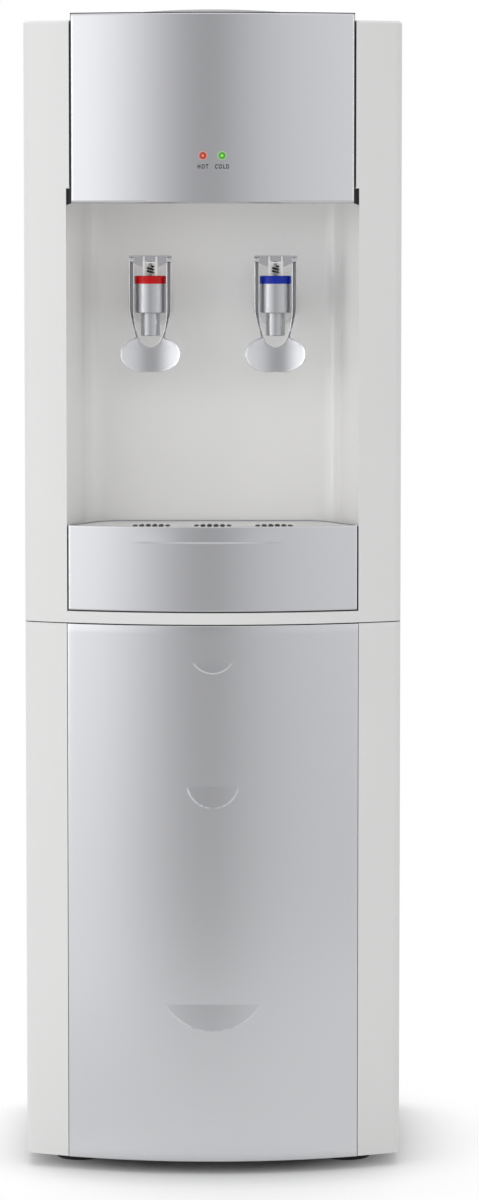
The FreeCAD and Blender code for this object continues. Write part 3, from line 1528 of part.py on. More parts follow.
def make_lever(name, x):
    """Push lever: top plate, two arms round the barrel, and the paddle below the nozzle."""
    body = doc.addObject("PartDesign::Body", f"{name}_fork")
    half, slot = s.lever_half, s.lever_slot_half
    neck_z = -s.neck_drop
    shape = [
        (-half, s.lever_top_wall),
        (-half, -s.lever_bend_drop, s.lever_half * 4, 1),
        (-s.neck_half, neck_z),
        (-s.paddle_half, -s.paddle_drop, s.paddle_half * 0.63, 1),
        (-s.paddle_flat_half, -s.paddle_end_drop),
        (s.paddle_flat_half, -s.paddle_end_drop, s.paddle_half * 0.63, 1),
        (s.paddle_half, -s.paddle_drop),
        (s.neck_half, neck_z, s.lever_half * 4, 1),
        (half, -s.lever_bend_drop),
        (half, s.lever_top_wall),
    ]
    shape[2] = (-s.neck_half, neck_z, s.paddle_half * 0.75, 1)
    shape[6] = (s.paddle_half, -s.paddle_drop, s.paddle_half * 0.75, 1)
    near = s.lever_wall / 2
    front = outline(body, f"{name}_front", "XZ_Plane", -near, shape)
    pad(body, f"{name}_pad", front, s.lever_wall)
    bend = slot * 1.02
    hole = outline(body, f"{name}_slot", "XZ_Plane", -near, [
        (-slot, s.lever_top_wall + 1),
        (-slot, s.lever_bend_drop * -1.0, bend * 2.2, 1),
        (-slot * 0.62, slot * 0.55 - s.lever_slot_drop, bend * 0.75, 1),
        (slot * 0.62, slot * 0.55 - s.lever_slot_drop, bend * 2.2, 1),
        (slot, s.lever_bend_drop * -1.0),
        (slot, s.lever_top_wall + 1),
    ])
    pocket(body, f"{name}_open", hole, s.lever_wall, backwards=True)
    place(body, x, PIVOT_Y, PIVOT_Z)
    top_low = PIVOT_Z + s.stem_head + s.fit_gap
    top_half = s.lever_top_half
    plate = block(f"{name}_top", (x - top_half, x + top_half),
                  (PIVOT_Y - s.lever_wall / 2, PIVOT_Y - s.lever_wall / 2 + s.lever_top_depth),
                  (top_low, top_low + s.lever_top_wall))
    cheeks = [block(f"{name}_cheek_{index}", (x + low, x + high),
                    (PIVOT_Y - s.lever_wall / 2, PIVOT_Y + s.lever_wall / 2),
                    (PIVOT_Z - s.lever_wall / 2, top_low + s.lever_top_wall / 2))
              for index, (low, high) in enumerate(((-half, -slot), (slot, half)))]
    lug = s.post_offset + s.post_wall + s.fit_gap * 2
    lugs = [block(f"{name}_lug_{index}", (x + low, x + high),
                  (TAP_Y - s.lift_pin_radius * 2, TAP_Y + s.lift_pin_radius * 2),
                  (PIVOT_Z - s.lift_pin_radius * 2, top_low + s.lever_top_wall / 2))
            for index, (low, high) in enumerate(((-lug - 2, -lug), (lug, lug + 2)))]
    pin = rod(f"{name}_lift_pin", s.lift_pin_radius, x - lug - 1, TAP_Y, PIVOT_Z, lug * 2 + 2, "x")
    whole = fuse(f"{name}_whole", [body, plate, pin] + cheeks + lugs)
    bore = rod(f"{name}_bore", s.pivot_radius + s.pivot_running, x - half - 2, PIVOT_Y, PIVOT_Z,
               half * 2 + 4, "x")
    return cut(name, whole, [bore])


def make_taps():
    roses, nuts = [], []
    for name, side in (("hot", -1), ("cold", 1)):
        x = s.tap_spacing / 2 * side
        node(f"{name}_tap_body", make_tap_body(f"{name}_tap", x))
        node(f"{name}_collar", make_collar(f"{name}_cap", x))
        node(f"{name}_yoke", make_yoke(f"{name}_posts", x))
        node(f"{name}_stem", make_stem(f"{name}_valve", x))
        node(f"{name}_spring", make_spring(f"{name}_wound", x))
        node(f"{name}_lever", make_lever(f"{name}_arm", x))
        bore = s.neck_radius + s.fit_gap / 3
        rim = s.rose_wall * 0.3
        roses.append(revolve(f"{name}_rose", [
            (bore, 0),
            (s.rose_radius - rim * 2, 0),
            (s.rose_radius, rim * 2),
            (s.rose_radius, s.rose_wall - s.fit_gap / 3),
            (bore, s.rose_wall - s.fit_gap / 3),
        ], x, NICHE_BACK - s.rose_wall, s.tap_height, "y"))
        nuts.append(revolve(f"{name}_nut", [
            (s.shank_radius + s.fit_gap / 3, 0),
            (s.nut_radius, 0),
            (s.nut_radius, s.nut_wall),
            (s.shank_radius + s.fit_gap / 3, s.nut_wall),
        ], x, NICHE_BACK + s.liner_wall + s.fit_gap / 3, s.tap_height, "y"))
    node("tap_roses", group("roses", roses))
    node("tap_nuts", group("nuts", nuts))


# ---------------------------------------------------------------- cooling and heating


def condenser_level(run):
    """Height of one run of the condenser's tube."""
    return s.condenser_low + s.condenser_pitch * run


CONDENSER_HALF = HALF - s.condenser_gap
CONDENSER_END = CONDENSER_HALF + s.condenser_pitch / 4
CONDENSER_Y = REAR - s.condenser_wire * 2 - s.weld_gap - s.condenser_tube


def make_condenser():
    """One serpentine tube with upright wires welded to both of its sides."""
    half, y = CONDENSER_HALF, CONDENSER_Y
    bend = s.condenser_pitch / 2
    inside = BACK_SKIN - s.sheet * 4
    low = condenser_level(0)
    points = [(-CONDENSER_END, inside, low), (-CONDENSER_END, y, low)]
    for run in range(CONDENSER_RUNS):
        level = condenser_level(run)
        ends = (-half, half) if run % 2 == 0 else (half, -half)
        if run > 0:
            points.append((ends[0], y, level))
        if run < CONDENSER_RUNS - 1:
            points.append((ends[1], y, level))
    top = condenser_level(CONDENSER_RUNS - 1)
    points += [(-CONDENSER_END, y, top), (-CONDENSER_END, inside, top)]
    snake = serpentine("condenser_snake", points, s.condenser_tube, bend)
    wire = s.condenser_wire
    reach = s.condenser_tube + s.weld_gap + wire
    count = math.floor((half.value - bend.value - s.bracket_width.value) / s.wire_pitch.value)
    wires = []
    for index in range(-count, count + 1):
        for side in (-1, 1):
            wires.append(rod(f"wire_{index + count}_{side + 1}", wire, s.wire_pitch * index,
                             y + reach * side, low - bend, top - low + bend * 2))
    node("condenser", group("condenser_group", [snake] + wires))
    brackets = []
    for index, (side, run) in enumerate(((-1, 1), (1, 1), (-1, CONDENSER_RUNS - 2),
                                         (1, CONDENSER_RUNS - 2))):
        middle = (half - bend - s.bracket_width) * side
        width = s.bracket_width / 2
        level = condenser_level(run)
        post = block(f"bracket_post_{index}", (middle - width, middle + width),
                     (BACK_SKIN, y + s.condenser_tube + s.weld_gap),
                     (level - s.bracket_width, level + s.bracket_width))
        groove = rod(f"bracket_groove_{index}", s.condenser_tube + s.weld_gap, middle - width - 1,
                     y, level, s.bracket_width + 2, "x")
        mouth = block(f"bracket_mouth_{index}", (middle - width - 1, middle + width + 1),
                      (y, y + s.condenser_tube * 2),
                      (level - s.condenser_tube - s.weld_gap, level + s.condenser_tube + s.weld_gap))
        brackets.append(cut(f"bracket_{index}", post, [groove, mouth]))
    node("condenser_brackets", group("brackets", brackets))


def serpentine(name, points, radius, bend):
    """Tube through points whose two end corners bend tighter than its loops."""
    vectors = [FreeCAD.Vector(*[as_size(part).value for part in point]) for point in points]
    tight = as_size(radius).value * 3
    edges = []
    here = vectors[0]
    last = len(vectors) - 2
    for index in range(1, len(vectors) - 1):
        before, corner, after = vectors[index - 1], vectors[index], vectors[index + 1]
        size = tight if index in (1, last) else as_size(bend).value
        inward, outward = (before - corner).normalize(), (after - corner).normalize()
        start, end = corner + inward * size, corner + outward * size
        middle = corner + (inward + outward).normalize() * size * (math.sqrt(2) - 1)
        if (start - here).Length > 0.001:
            edges.append(Part.LineSegment(here, start).toShape())
        edges.append(Part.Arc(start, middle, end).toShape())
        here = end
    edges.append(Part.LineSegment(here, vectors[-1]).toShape())
    piece = doc.addObject("Part::Feature", name)
    piece.Shape = swept_tube(Part.Wire(edges), as_size(radius).value)
    return piece


def mount_places():
    """The compressor's four rubber mounts, as (x, y)."""
    return [(s.compressor_x + s.mount_half_x * i, s.compressor_y + s.mount_half_y * j)
            for i in (-1, 1) for j in (-1, 1)]


def make_compressor():
    base = BASE_Z
    half_x, half_y = s.mount_half_x + s.mount_radius, s.mount_half_y + s.mount_radius
    plate = block("compressor_base", (s.compressor_x - half_x, s.compressor_x + half_x),
                  (s.compressor_y - half_y, s.compressor_y + half_y), (base, base + s.shell))
    round_off = s.compressor_radius * 0.35
    wall = s.compressor_wall
    shell = revolve("compressor_shell", [
        (0, 0),
        (s.compressor_radius, 0),
        (s.compressor_radius, s.compressor_height - round_off, round_off, 1),
        (s.compressor_radius - round_off, s.compressor_height),
        (0, s.compressor_height),
        (0, s.compressor_height - wall),
        (s.compressor_radius - wall, s.compressor_height - round_off - wall),
        (s.compressor_radius - wall, wall),
        (0, wall),
    ], s.compressor_x, s.compressor_y, base + s.shell / 2)
    seam = revolve("compressor_seam", [
        (s.compressor_radius - wall / 2, 0),
        (s.compressor_radius + s.shell, 0),
        (s.compressor_radius + s.shell, s.shell),
        (s.compressor_radius - wall / 2, s.shell),
    ], s.compressor_x, s.compressor_y, base + s.compressor_height / 2)
    node("compressor", fuse("compressor_whole", [plate, shell, seam]))
    mounts = []
    for index, (x, y) in enumerate(mount_places()):
        waist = s.mount_radius * 0.8
        mounts.append(revolve(f"mount_{index}", [
            (0, 0),
            (s.mount_radius, 0),
            (waist, s.mount_height / 2),
            (s.mount_radius, s.mount_height),
            (0, s.mount_height),
        ], x, y, BASE_Z - s.mount_height - s.fit_gap / 3))
    node("compressor_mounts", group("mounts", mounts))


TANK_DECK = s.tank_shelf_level + s.sheet
COLD_LOW = TANK_DECK + s.fit_gap + s.foam_wall
COIL_SPACE = s.coil_tube * 2 + s.coil_gap * 4
SHANK_END = NICHE_BACK + s.shank_length + s.fit_gap / 3
FOAM_LEFT = s.hot_radius + s.band_wall + s.tank_gap - s.hot_x
FOAM_FRONT = SHANK_END + s.tank_front_gap
FOAM_BACK = BACK_SKIN - s.sheet - s.tank_back_gap
FOAM_RADIUS = least((HALF - s.sheet - s.tank_side_gap - FOAM_LEFT) / 2,
                    (FOAM_BACK - FOAM_FRONT) / 2)
COLD_X = FOAM_LEFT + FOAM_RADIUS
COLD_Y = FOAM_BACK - FOAM_RADIUS
COLD_RADIUS = FOAM_RADIUS - COIL_SPACE - s.foam_wall


def make_cold_tank():
    x, y = COLD_X, COLD_Y
    wall = s.sheet
    outer = COLD_RADIUS
    low, high = COLD_LOW + s.fit_gap, COLD_LOW + s.cold_height
    node("cold_tank", revolve("cold_can", [
        (0, 0),
        (outer, 0),
        (outer, high - low),
        (0, high - low),
        (0, high - low - wall),
        (outer - wall, high - low - wall),
        (outer - wall, wall),
        (0, wall),
    ], x, y, low))
    middle = outer + s.coil_gap + s.coil_tube
    node("evaporator_coil", coil("evaporator", middle, s.coil_tube * 2, s.coil_pitch, COIL_TURNS,
                                 x, y, low + s.fit_gap, high - s.fit_gap))
    inner = outer + COIL_SPACE
    thick = inner + s.foam_wall
    split = s.cold_height / 2
    halves = [
        revolve("foam_low", [
            (0, -s.foam_wall),
            (thick, -s.foam_wall),
            (thick, split),
            (inner, split),
            (inner, 0),
            (0, 0),
        ], x, y, COLD_LOW),
        revolve("foam_high", [
            (inner, split + s.fit_gap / 3),
            (thick, split + s.fit_gap / 3),
            (thick, s.cold_height + s.foam_wall),
            (0, s.cold_height + s.foam_wall),
            (0, s.cold_height + s.fit_gap),
            (inner, s.cold_height + s.fit_gap),
        ], x, y, COLD_LOW),
    ]
    touch = s.fit_gap / 3
    low_holes = [
        rod("foam_return_hole", s.condenser_tube + touch, s.return_x, s.compressor_y,
            TANK_DECK - 1, s.hose_sink + s.fit_gap + touch + 1),
        rod("foam_capillary_hole", s.capillary_radius + touch, s.capillary_x, LINE_Y,
            TANK_DECK - 1, s.hose_sink + s.fit_gap + touch + 1),
        rod("foam_tap_hole", s.hose_radius - 1 + touch, s.tap_spacing / 2, SHANK_END,
            s.tap_height, foam_front() + s.hose_sink + touch - SHANK_END, "y"),
    ]
    halves[0] = cut("foam_low_cut", halves[0], low_holes)
    node("tank_insulation", group("foam", halves))


def make_hot_tank():
    x, y = -s.hot_x, s.hot_y
    low = TANK_DECK + s.fit_gap / 3 + s.hot_leg
    wall = s.sheet
    can = revolve("hot_can", [
        (0, 0),
        (s.hot_radius, 0),
        (s.hot_radius, s.hot_height),
        (0, s.hot_height),
        (0, s.hot_height - wall),
        (s.hot_radius - wall, s.hot_height - wall),
        (s.hot_radius - wall, wall),
        (0, wall),
    ], x, y, low)
    legs = [rod(f"hot_leg_{index}", s.mount_radius, x + s.hot_radius * 0.6 * i,
                y + s.hot_radius * 0.6 * j, TANK_DECK + s.fit_gap / 3, s.hot_leg)
            for index, (i, j) in enumerate(((-1, -1), (1, -1), (-1, 1), (1, 1)))]
    node("hot_tank", fuse("hot_whole", [can] + legs))
    bore = s.hot_radius + s.fit_gap / 3
    node("band_heater", revolve("heater", [
        (bore, 0),
        (bore + s.band_wall, 0),
        (bore + s.band_wall, s.band_height),
        (bore, s.band_height),
    ], x, y, low + s.hot_height / 4))


def make_pump():
    deck = s.shelf_level + s.sheet + s.fit_gap / 3
    x, y = -PUMP_X, PUMP_Y
    half, deep = s.pump_width / 2, s.pump_depth / 2
    case = block("pump_case", (x - half, x + half), (y - deep, y + deep),
                 (deck, deck + s.pump_height / 2))
    motor = rod("pump_motor", half * 0.85, x, y - deep, deck + s.pump_height / 2, s.pump_depth,
                "y")
    node("water_pump", fuse("pump_whole", [case, motor]))


FEED_Y = PUMP_Y + s.pump_depth / 4
DRAIN_INNER = BACK_SKIN - s.sheet * 3
LINE_Y = BACK_SKIN - s.line_depth
DRAIN_LANE_X = HALF - s.drain_lane_gap
DRAIN_LANE_Y = LINE_Y - s.drain_lane_step
LINE_INNER = BACK_SKIN - s.sheet * 4 - s.fit_gap / 3
BASE_Z = s.shelf_level + s.sheet + s.fit_gap + s.mount_height


def foam_front():
    """Where the cold tap's hose meets the foam, on the hose's nearer side."""
    offset = COLD_X - s.tap_spacing / 2 - s.hose_radius
    return COLD_Y - root(FOAM_RADIUS * FOAM_RADIUS - offset * offset)


def make_hoses():
    """Water hoses: from the bottle to the pump, to the tanks, to the taps and to the drain."""
    radius = s.hose_radius - 1
    touch = s.fit_gap / 3
    motor_z = s.shelf_level + s.sheet + touch + s.pump_height / 2
    suction = tube("suction_hose", [
        (HOSE_X, HOSE_Y, BAY_FLOOR + s.bay_high_ceiling + touch),
        (HOSE_X, HOSE_Y, motor_z),
        (HOSE_X, PUMP_Y - s.pump_depth / 2 - touch, motor_z),
    ], radius, radius * 2)
    feed_z = s.tank_shelf_level - s.feed_drop
    tank_top = COLD_LOW + s.cold_height + s.foam_wall
    feed = tube("feed_hose", [
        (-PUMP_X, FEED_Y, motor_z + s.pump_width / 2 * 0.85 + touch),
        (-PUMP_X, FEED_Y, feed_z),
        (-s.feed_x, FEED_Y, feed_z),
        (-s.feed_x, FEED_Y, tank_top + s.foam_wall),
        (COLD_X, COLD_Y, tank_top + s.foam_wall),
        (COLD_X, COLD_Y, tank_top + touch),
    ], radius, radius * 3)
    tap_x = s.tap_spacing / 2
    cold = rod("cold_hose", radius, tap_x, SHANK_END, s.tap_height,
               foam_front() + s.hose_sink - SHANK_END, "y")
    hot_skin = s.hot_y - s.hot_radius - touch
    hot = rod("hot_hose", radius, -tap_x, SHANK_END, s.tap_height, hot_skin - SHANK_END, "y")
    hot_side = s.hot_radius + touch - s.hot_x
    link = rod("link_hose", radius, hot_side, s.hot_y, COLD_LOW + s.cold_height * 0.55,
               COLD_X - FOAM_RADIUS - touch - hot_side, "x")
    drain_z = s.tank_shelf_level - s.drain_drop
    drain = tube("drain_hose", [
        (-s.hot_x, s.hot_y, TANK_DECK + s.hot_leg),
        (-s.hot_x, s.hot_y, drain_z),
        (-DRAIN_LANE_X, DRAIN_LANE_Y, drain_z),
        (-DRAIN_LANE_X, DRAIN_LANE_Y, s.drain_level),
        (-DRAIN_LANE_X, LINE_Y, s.drain_level),
        (-FITTING_X, LINE_Y, s.drain_level),
        (-FITTING_X, DRAIN_INNER - touch, s.drain_level),
    ], radius, radius * 1.2)
    node("water_hoses", group("hoses", [suction, feed, cold, hot, link, drain]))


def make_refrigerant_lines():
    """Discharge and return lines, the drier and its capillary."""
    touch = s.fit_gap / 3
    radius = s.condenser_tube
    line_z = BASE_Z + s.compressor_height * 0.75
    side = s.compressor_x - s.compressor_radius - touch
    low, high = condenser_level(0), condenser_level(CONDENSER_RUNS - 1)
    lane = -CONDENSER_END
    gap = s.foam_wall
    discharge = tube("discharge_line", [
        (side, s.compressor_y, line_z),
        (side - gap, s.compressor_y, line_z),
        (side - gap, LINE_Y, line_z),
        (lane, LINE_Y, line_z),
        (lane, LINE_Y, high),
        (lane, LINE_INNER, high),
    ], radius, radius * 3)
    back_line = tube("return_line", [
        (side, s.compressor_y, line_z - gap),
        (s.return_x, s.compressor_y, line_z - gap),
        (s.return_x, s.compressor_y, TANK_DECK + s.fit_gap + s.hose_sink),
    ], radius, radius * 2)
    drier_z = s.shelf_level + s.sheet + gap
    nose = s.drier_radius - radius
    drier = revolve("drier", [
        (0, 0),
        (radius, 0),
        (s.drier_radius, nose),
        (s.drier_radius, s.drier_height - nose),
        (radius, s.drier_height),
        (0, s.drier_height),
    ], -s.drier_x, LINE_Y, drier_z)
    inlet = tube("drier_line", [
        (lane, LINE_INNER, low),
        (lane, LINE_Y, low),
        (lane, LINE_Y, drier_z + s.drier_height + gap / 2),
        (-s.drier_x, LINE_Y, drier_z + s.drier_height + gap / 2),
        (-s.drier_x, LINE_Y, drier_z + s.drier_height),
    ], radius, radius * 2)
    capillary = tube("capillary", [
        (-s.drier_x, LINE_Y, drier_z),
        (-s.drier_x, LINE_Y, drier_z - gap / 2),
        (s.capillary_x, LINE_Y, drier_z - gap / 2),
        (s.capillary_x, LINE_Y, TANK_DECK + s.fit_gap + s.hose_sink),
    ], s.capillary_radius, radius * 2)
    drying = fuse("drier_line_whole", [inlet, drier, capillary])
    node("refrigerant_lines", group("lines", [discharge, back_line, drying]))


# ---------------------------------------------------------------- electrics and the back


def switch_half():
    """Half height of the switch housing."""
    return s.switch_height / 2 + s.switch_border


def housing_half():
    """Half width of the switch housing."""
    return s.switch_spacing / 2 + s.switch_width / 2 + s.switch_border


SWITCH_DEPTH = s.switch_height / 2
SWITCH_Y = BACK_SKIN - s.switch_play


def make_switches():
    half, tall = housing_half(), switch_half()
    neck = block("housing_neck", (-half, half), (SWITCH_Y - SWITCH_DEPTH - s.sheet * 2, BACK_SKIN),
                 (s.switch_level - tall, s.switch_level + tall))
    rim = s.switch_border / 2
    flange = block("housing_flange", (-half - rim, half + rim),
                   (BACK_SKIN, BACK_SKIN + s.sheet),
                   (s.switch_level - tall - rim, s.switch_level + tall + rim))
    wells, pins = [], []
    for index, side in enumerate((-1, 1)):
        x = s.switch_spacing / 2 * side
        play = s.switch_play
        wide = s.switch_width / 2 + play
        wells.append(block(f"switch_well_{index}", (x - wide, x + wide),
                           (SWITCH_Y - SWITCH_DEPTH, BACK_SKIN + s.sheet + 1),
                           (s.switch_level - s.switch_height / 2 - play,
                            s.switch_level + s.switch_height / 2 + play)))
        pins.append(rod(f"switch_pin_{index}", s.pivot_radius, x - wide - 1, SWITCH_Y,
                        s.switch_level, wide * 2 + 2, "x"))
    shell = cut("housing_shell", fuse("housing_solid", [neck, flange]), wells)
    node("switch_housing", fuse("housing_whole", [shell] + pins))
    for name, side in (("hot_switch", -1), ("cold_switch", 1)):
        node(name, make_rocker(name, s.switch_spacing / 2 * side))


def make_rocker(name, x):
    """Rocker with a shallow V face, tipped into its ON place."""
    body = doc.addObject("PartDesign::Body", f"{name}_body")
    tall = s.switch_height / 2 * 0.94
    proud = s.sheet * 3
    tip = Size(math.tan(math.radians(s.switch_angle.value)) * tall.value,
               f"(tan({s.switch_angle.text} * 1deg) * {tall.text})")
    core = SWITCH_DEPTH * 0.45
    wide = s.switch_width / 2
    corners = [
        (-core, -tall / 2),
        (s.switch_play, -tall),
        (proud + tip, -tall),
        (proud, 0),
        (proud + tip, tall),
        (s.switch_play, tall),
        (-core, tall / 2),
    ]
    section = outline(body, f"{name}_section", "YZ_Plane", -wide, corners)
    pad(body, f"{name}_pad", section, wide * 2)
    tilt = FreeCAD.Rotation(DIRECTIONS["x"], s.switch_angle.value)
    body.Placement = FreeCAD.Placement(FreeCAD.Vector(), tilt)
    place(body, x, SWITCH_Y, s.switch_level)
    bore = rod(f"{name}_bore", s.pivot_radius + s.pivot_running, x - wide - 1, SWITCH_Y,
               s.switch_level, wide * 2 + 2, "x")
    return cut(name, body, [bore])


def make_control_board():
    wall = HALF - s.sheet
    gap = s.mount_height
    high = s.switch_level + s.foam_wall
    low = high - s.board_height
    front = s.hot_y - s.board_width / 2
    touch = s.fit_gap / 3
    board = block("control_sheet", (gap - wall, gap - wall + s.board_wall),
                  (front, front + s.board_width), (low, high))
    posts = [rod(f"board_post_{index}", s.lamp_radius, touch - wall, front + y, low + z,
                 gap - touch + s.board_wall / 2, "x")
             for index, (y, z) in enumerate((
                 (s.mount_radius, s.mount_radius),
                 (s.board_width - s.mount_radius, s.mount_radius),
                 (s.mount_radius, s.board_height - s.mount_radius),
                 (s.board_width - s.mount_radius, s.board_height - s.mount_radius)))]
    relay = block("board_relay", (gap - wall + s.board_wall / 2, gap - wall + s.foam_wall),
                  (front + s.board_width / 3, front + s.board_width / 2),
                  (low + s.board_height / 3, low + s.board_height * 0.6))
    node("control_board", fuse("board_whole", [board, relay] + posts))


def make_back_fittings():
    """Empty cord gland and the drain plug, both through the back panel."""
    inner = BACK_SKIN - s.sheet * 3
    step = s.sheet * 3
    flange = s.shell
    node("cord_gland", revolve("gland", [
        (s.gland_bore, 0),
        (s.gland_neck, 0),
        (s.gland_neck, step),
        (s.gland_flange, step),
        (s.gland_flange - flange / 3, step + flange),
        (s.gland_bore, step + flange),
    ], FITTING_X, inner, s.gland_level, "y"))
    cap = s.drain_radius
    node("drain_plug", revolve("drain", [
        (0, 0),
        (s.gland_neck, 0),
        (s.gland_neck, step),
        (cap, step),
        (cap, step + flange * 2),
        (cap - flange / 2, step + flange * 3),
        (0, step + flange * 3),
    ], -FITTING_X, inner, s.drain_level, "y"))


# ---------------------------------------------------------------- build and export


def make_shelves():
    """The middle shelf with its hose hole, and the tank shelf with the hoses' holes."""
    hose = s.hose_radius + s.fit_gap
    through = s.sheet + 2
    low = s.shelf_level - 1
    make_shelf("middle_shelf", s.shelf_level, 0, True, [
        rod("mid_hose_hole", hose, HOSE_X, HOSE_Y, low, through),
        rod("mid_drain_hole", hose, -DRAIN_LANE_X, DRAIN_LANE_Y, low, through),
    ])
    high = s.tank_shelf_level - 1
    line = s.condenser_tube + s.fit_gap * 2
    make_shelf("tank_shelf", s.tank_shelf_level, 0, False, [
        rod("feed_hole", hose, -s.feed_x, FEED_Y, high, through),
        rod("hot_drain_hole", hose, -s.hot_x, s.hot_y, high, through),
        rod("discharge_hole", line, -CONDENSER_END, LINE_Y, high, through),
        rod("return_hole", line, s.return_x, s.compressor_y, high, through),
        rod("capillary_hole", line, s.capillary_x, LINE_Y, high, through),
    ])


def build():
    make_feet()
    make_base_pan()
    make_side_panel("side_panel_left", -1)
    make_side_panel("side_panel_right", 1)
    make_back_panel()
    make_shelves()
    make_screws()
    make_upper_frame()
    make_upper_panel()
    make_lamps()
    make_top_cover()
    make_niche_liner()
    make_bottle_liner()
    make_probe()
    make_door_frame()
    make_door_skin()
    make_door_inner()
    make_hinges_and_catch()
    make_tray()
    make_grille()
    make_taps()
    make_condenser()
    make_compressor()
    make_cold_tank()
    make_hot_tank()
    make_pump()
    make_hoses()
    make_refrigerant_lines()
    make_switches()
    make_control_board()
    make_back_fittings()
    doc.recompute()


def export():
    """Check every object and every node's shape, then write the nodes."""
    bad = [item.Name for item in doc.Objects
           if "Invalid" in item.State or "Error" in item.State]
    if bad:
        raise RuntimeError(f"objects failed: {bad}")
    for name, piece in nodes.items():
        if piece.Shape.isNull() or not piece.Shape.isValid() or not piece.Shape.Solids:
            raise RuntimeError(f"{name} has no valid solid")
    os.makedirs("parts", exist_ok=True)
    for name, piece in nodes.items():
        piece.Shape.exportStep(os.path.join("parts", f"{name}.step"))
    print(f"{len(nodes)} nodes written")


build()
export()
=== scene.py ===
"""The bottom load water cooler as it looks: studio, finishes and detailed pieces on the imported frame."""
import json
import math

import bmesh
import bpy
from mathutils import Matrix, Vector


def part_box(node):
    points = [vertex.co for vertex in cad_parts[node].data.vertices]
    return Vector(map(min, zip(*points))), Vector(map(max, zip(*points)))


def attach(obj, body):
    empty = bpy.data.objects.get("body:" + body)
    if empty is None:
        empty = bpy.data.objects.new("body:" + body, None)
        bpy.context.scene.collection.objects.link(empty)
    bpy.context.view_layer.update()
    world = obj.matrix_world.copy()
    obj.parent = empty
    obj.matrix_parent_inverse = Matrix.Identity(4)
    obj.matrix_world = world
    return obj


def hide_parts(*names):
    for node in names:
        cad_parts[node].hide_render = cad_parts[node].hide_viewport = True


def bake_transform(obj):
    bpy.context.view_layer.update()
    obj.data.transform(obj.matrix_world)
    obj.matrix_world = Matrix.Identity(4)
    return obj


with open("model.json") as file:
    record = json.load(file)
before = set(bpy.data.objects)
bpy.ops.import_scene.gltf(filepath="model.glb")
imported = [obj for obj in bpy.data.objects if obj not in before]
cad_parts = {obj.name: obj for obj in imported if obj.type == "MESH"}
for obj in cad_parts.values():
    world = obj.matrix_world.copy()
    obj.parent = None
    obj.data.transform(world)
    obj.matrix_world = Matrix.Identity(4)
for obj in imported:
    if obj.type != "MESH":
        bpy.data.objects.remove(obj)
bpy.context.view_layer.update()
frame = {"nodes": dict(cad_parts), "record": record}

MM = 0.001


# ---------------------------------------------------------------- shorthand

def placed(name, data):
    """A new object of the scene that holds the data."""
    thing = bpy.data.objects.new(name, data)
    bpy.context.scene.collection.objects.link(thing)
    return thing


def plain_mesh(holder):
    """What a holder object evaluates to, as a plain mesh; the holder goes."""
    bpy.context.view_layer.update()
    shown = holder.evaluated_get(bpy.context.evaluated_depsgraph_get())
    mesh = bpy.data.meshes.new_from_object(shown)
    holder.modifiers.clear()
    bpy.data.objects.remove(holder)
    return mesh


def put(tree, socket, value):
    """Link a socket to one or more others, or give it a plain value."""
    for source in value if isinstance(value, list) else [value]:
        if isinstance(source, bpy.types.NodeSocket):
            tree.links.new(source, socket)
        else:
            socket.default_value = source


def fill(tree, node, **named):
    """Give a node's named sockets their links or values."""
    for label, value in named.items():
        put(tree, node.inputs[label.replace("_", " ")], value)
    return node


def add(tree, kind, *values, **named):
    """A new node: values fill its sockets in order, lower-case names its settings, others its sockets."""
    node = tree.nodes.new(kind)
    for label, value in named.items():
        if label.islower():
            setattr(node, label, value)
    for socket, value in zip(node.inputs, values):
        put(tree, socket, value)
    return fill(tree, node, **{label: value for label, value in named.items() if not label.islower()})


def reckon(tree, operation, *values):
    """The result of a maths node."""
    return add(tree, "ShaderNodeMath", *values, operation=operation).outputs[0]


def carry(tree, value, kind="LINEAR", **ends):
    """A value carried over from one range to another."""
    return add(tree, "ShaderNodeMapRange", Value=value, interpolation_type=kind, **ends).outputs[0]


def vector(tree, x, y, z):
    """A vector made of three numbers or sockets."""
    return add(tree, "ShaderNodeCombineXYZ", x, y, z).outputs[0]


def between(tree, share, plain, other):
    """A colour between two others, by a share."""
    plain, other = (value if isinstance(value, bpy.types.NodeSocket) else (*value, 1)
                    for value in (plain, other))
    return add(tree, "ShaderNodeMix", data_type="RGBA", Factor=share, A=plain, B=other).outputs["Result"]


def colour_ramp(tree, share, stops):
    """A ramp of colours through stops of (position, colour)."""
    ramp = add(tree, "ShaderNodeValToRGB", share)
    while len(ramp.color_ramp.elements) < len(stops):
        ramp.color_ramp.elements.new(0.5)
    for stop, (position, colour) in zip(ramp.color_ramp.elements, stops):
        stop.position = position
        stop.color = (*colour, 1)
    return ramp.outputs[0]


def grey(level):
    """A neutral colour."""
    return (level, level, level)


SOCKET_KINDS = {int: "NodeSocketInt", float: "NodeSocketFloat", tuple: "NodeSocketVector"}


def new_group(name, kind, inputs, outputs):
    """A node group and the sockets of its two ends; an input's value is its default or its kind."""
    tree = bpy.data.node_groups.new(name, kind)
    for label, value in inputs.items():
        known = SOCKET_KINDS.get(type(value))
        socket = tree.interface.new_socket(name=label, in_out="INPUT", socket_type=known or value)
        if known:
            socket.default_value = value
    for label, value in outputs.items():
        tree.interface.new_socket(name=label, in_out="OUTPUT", socket_type=value)
    return tree, tree.nodes.new("NodeGroupInput").outputs, tree.nodes.new("NodeGroupOutput").inputs


# ---------------------------------------------------------------- studio

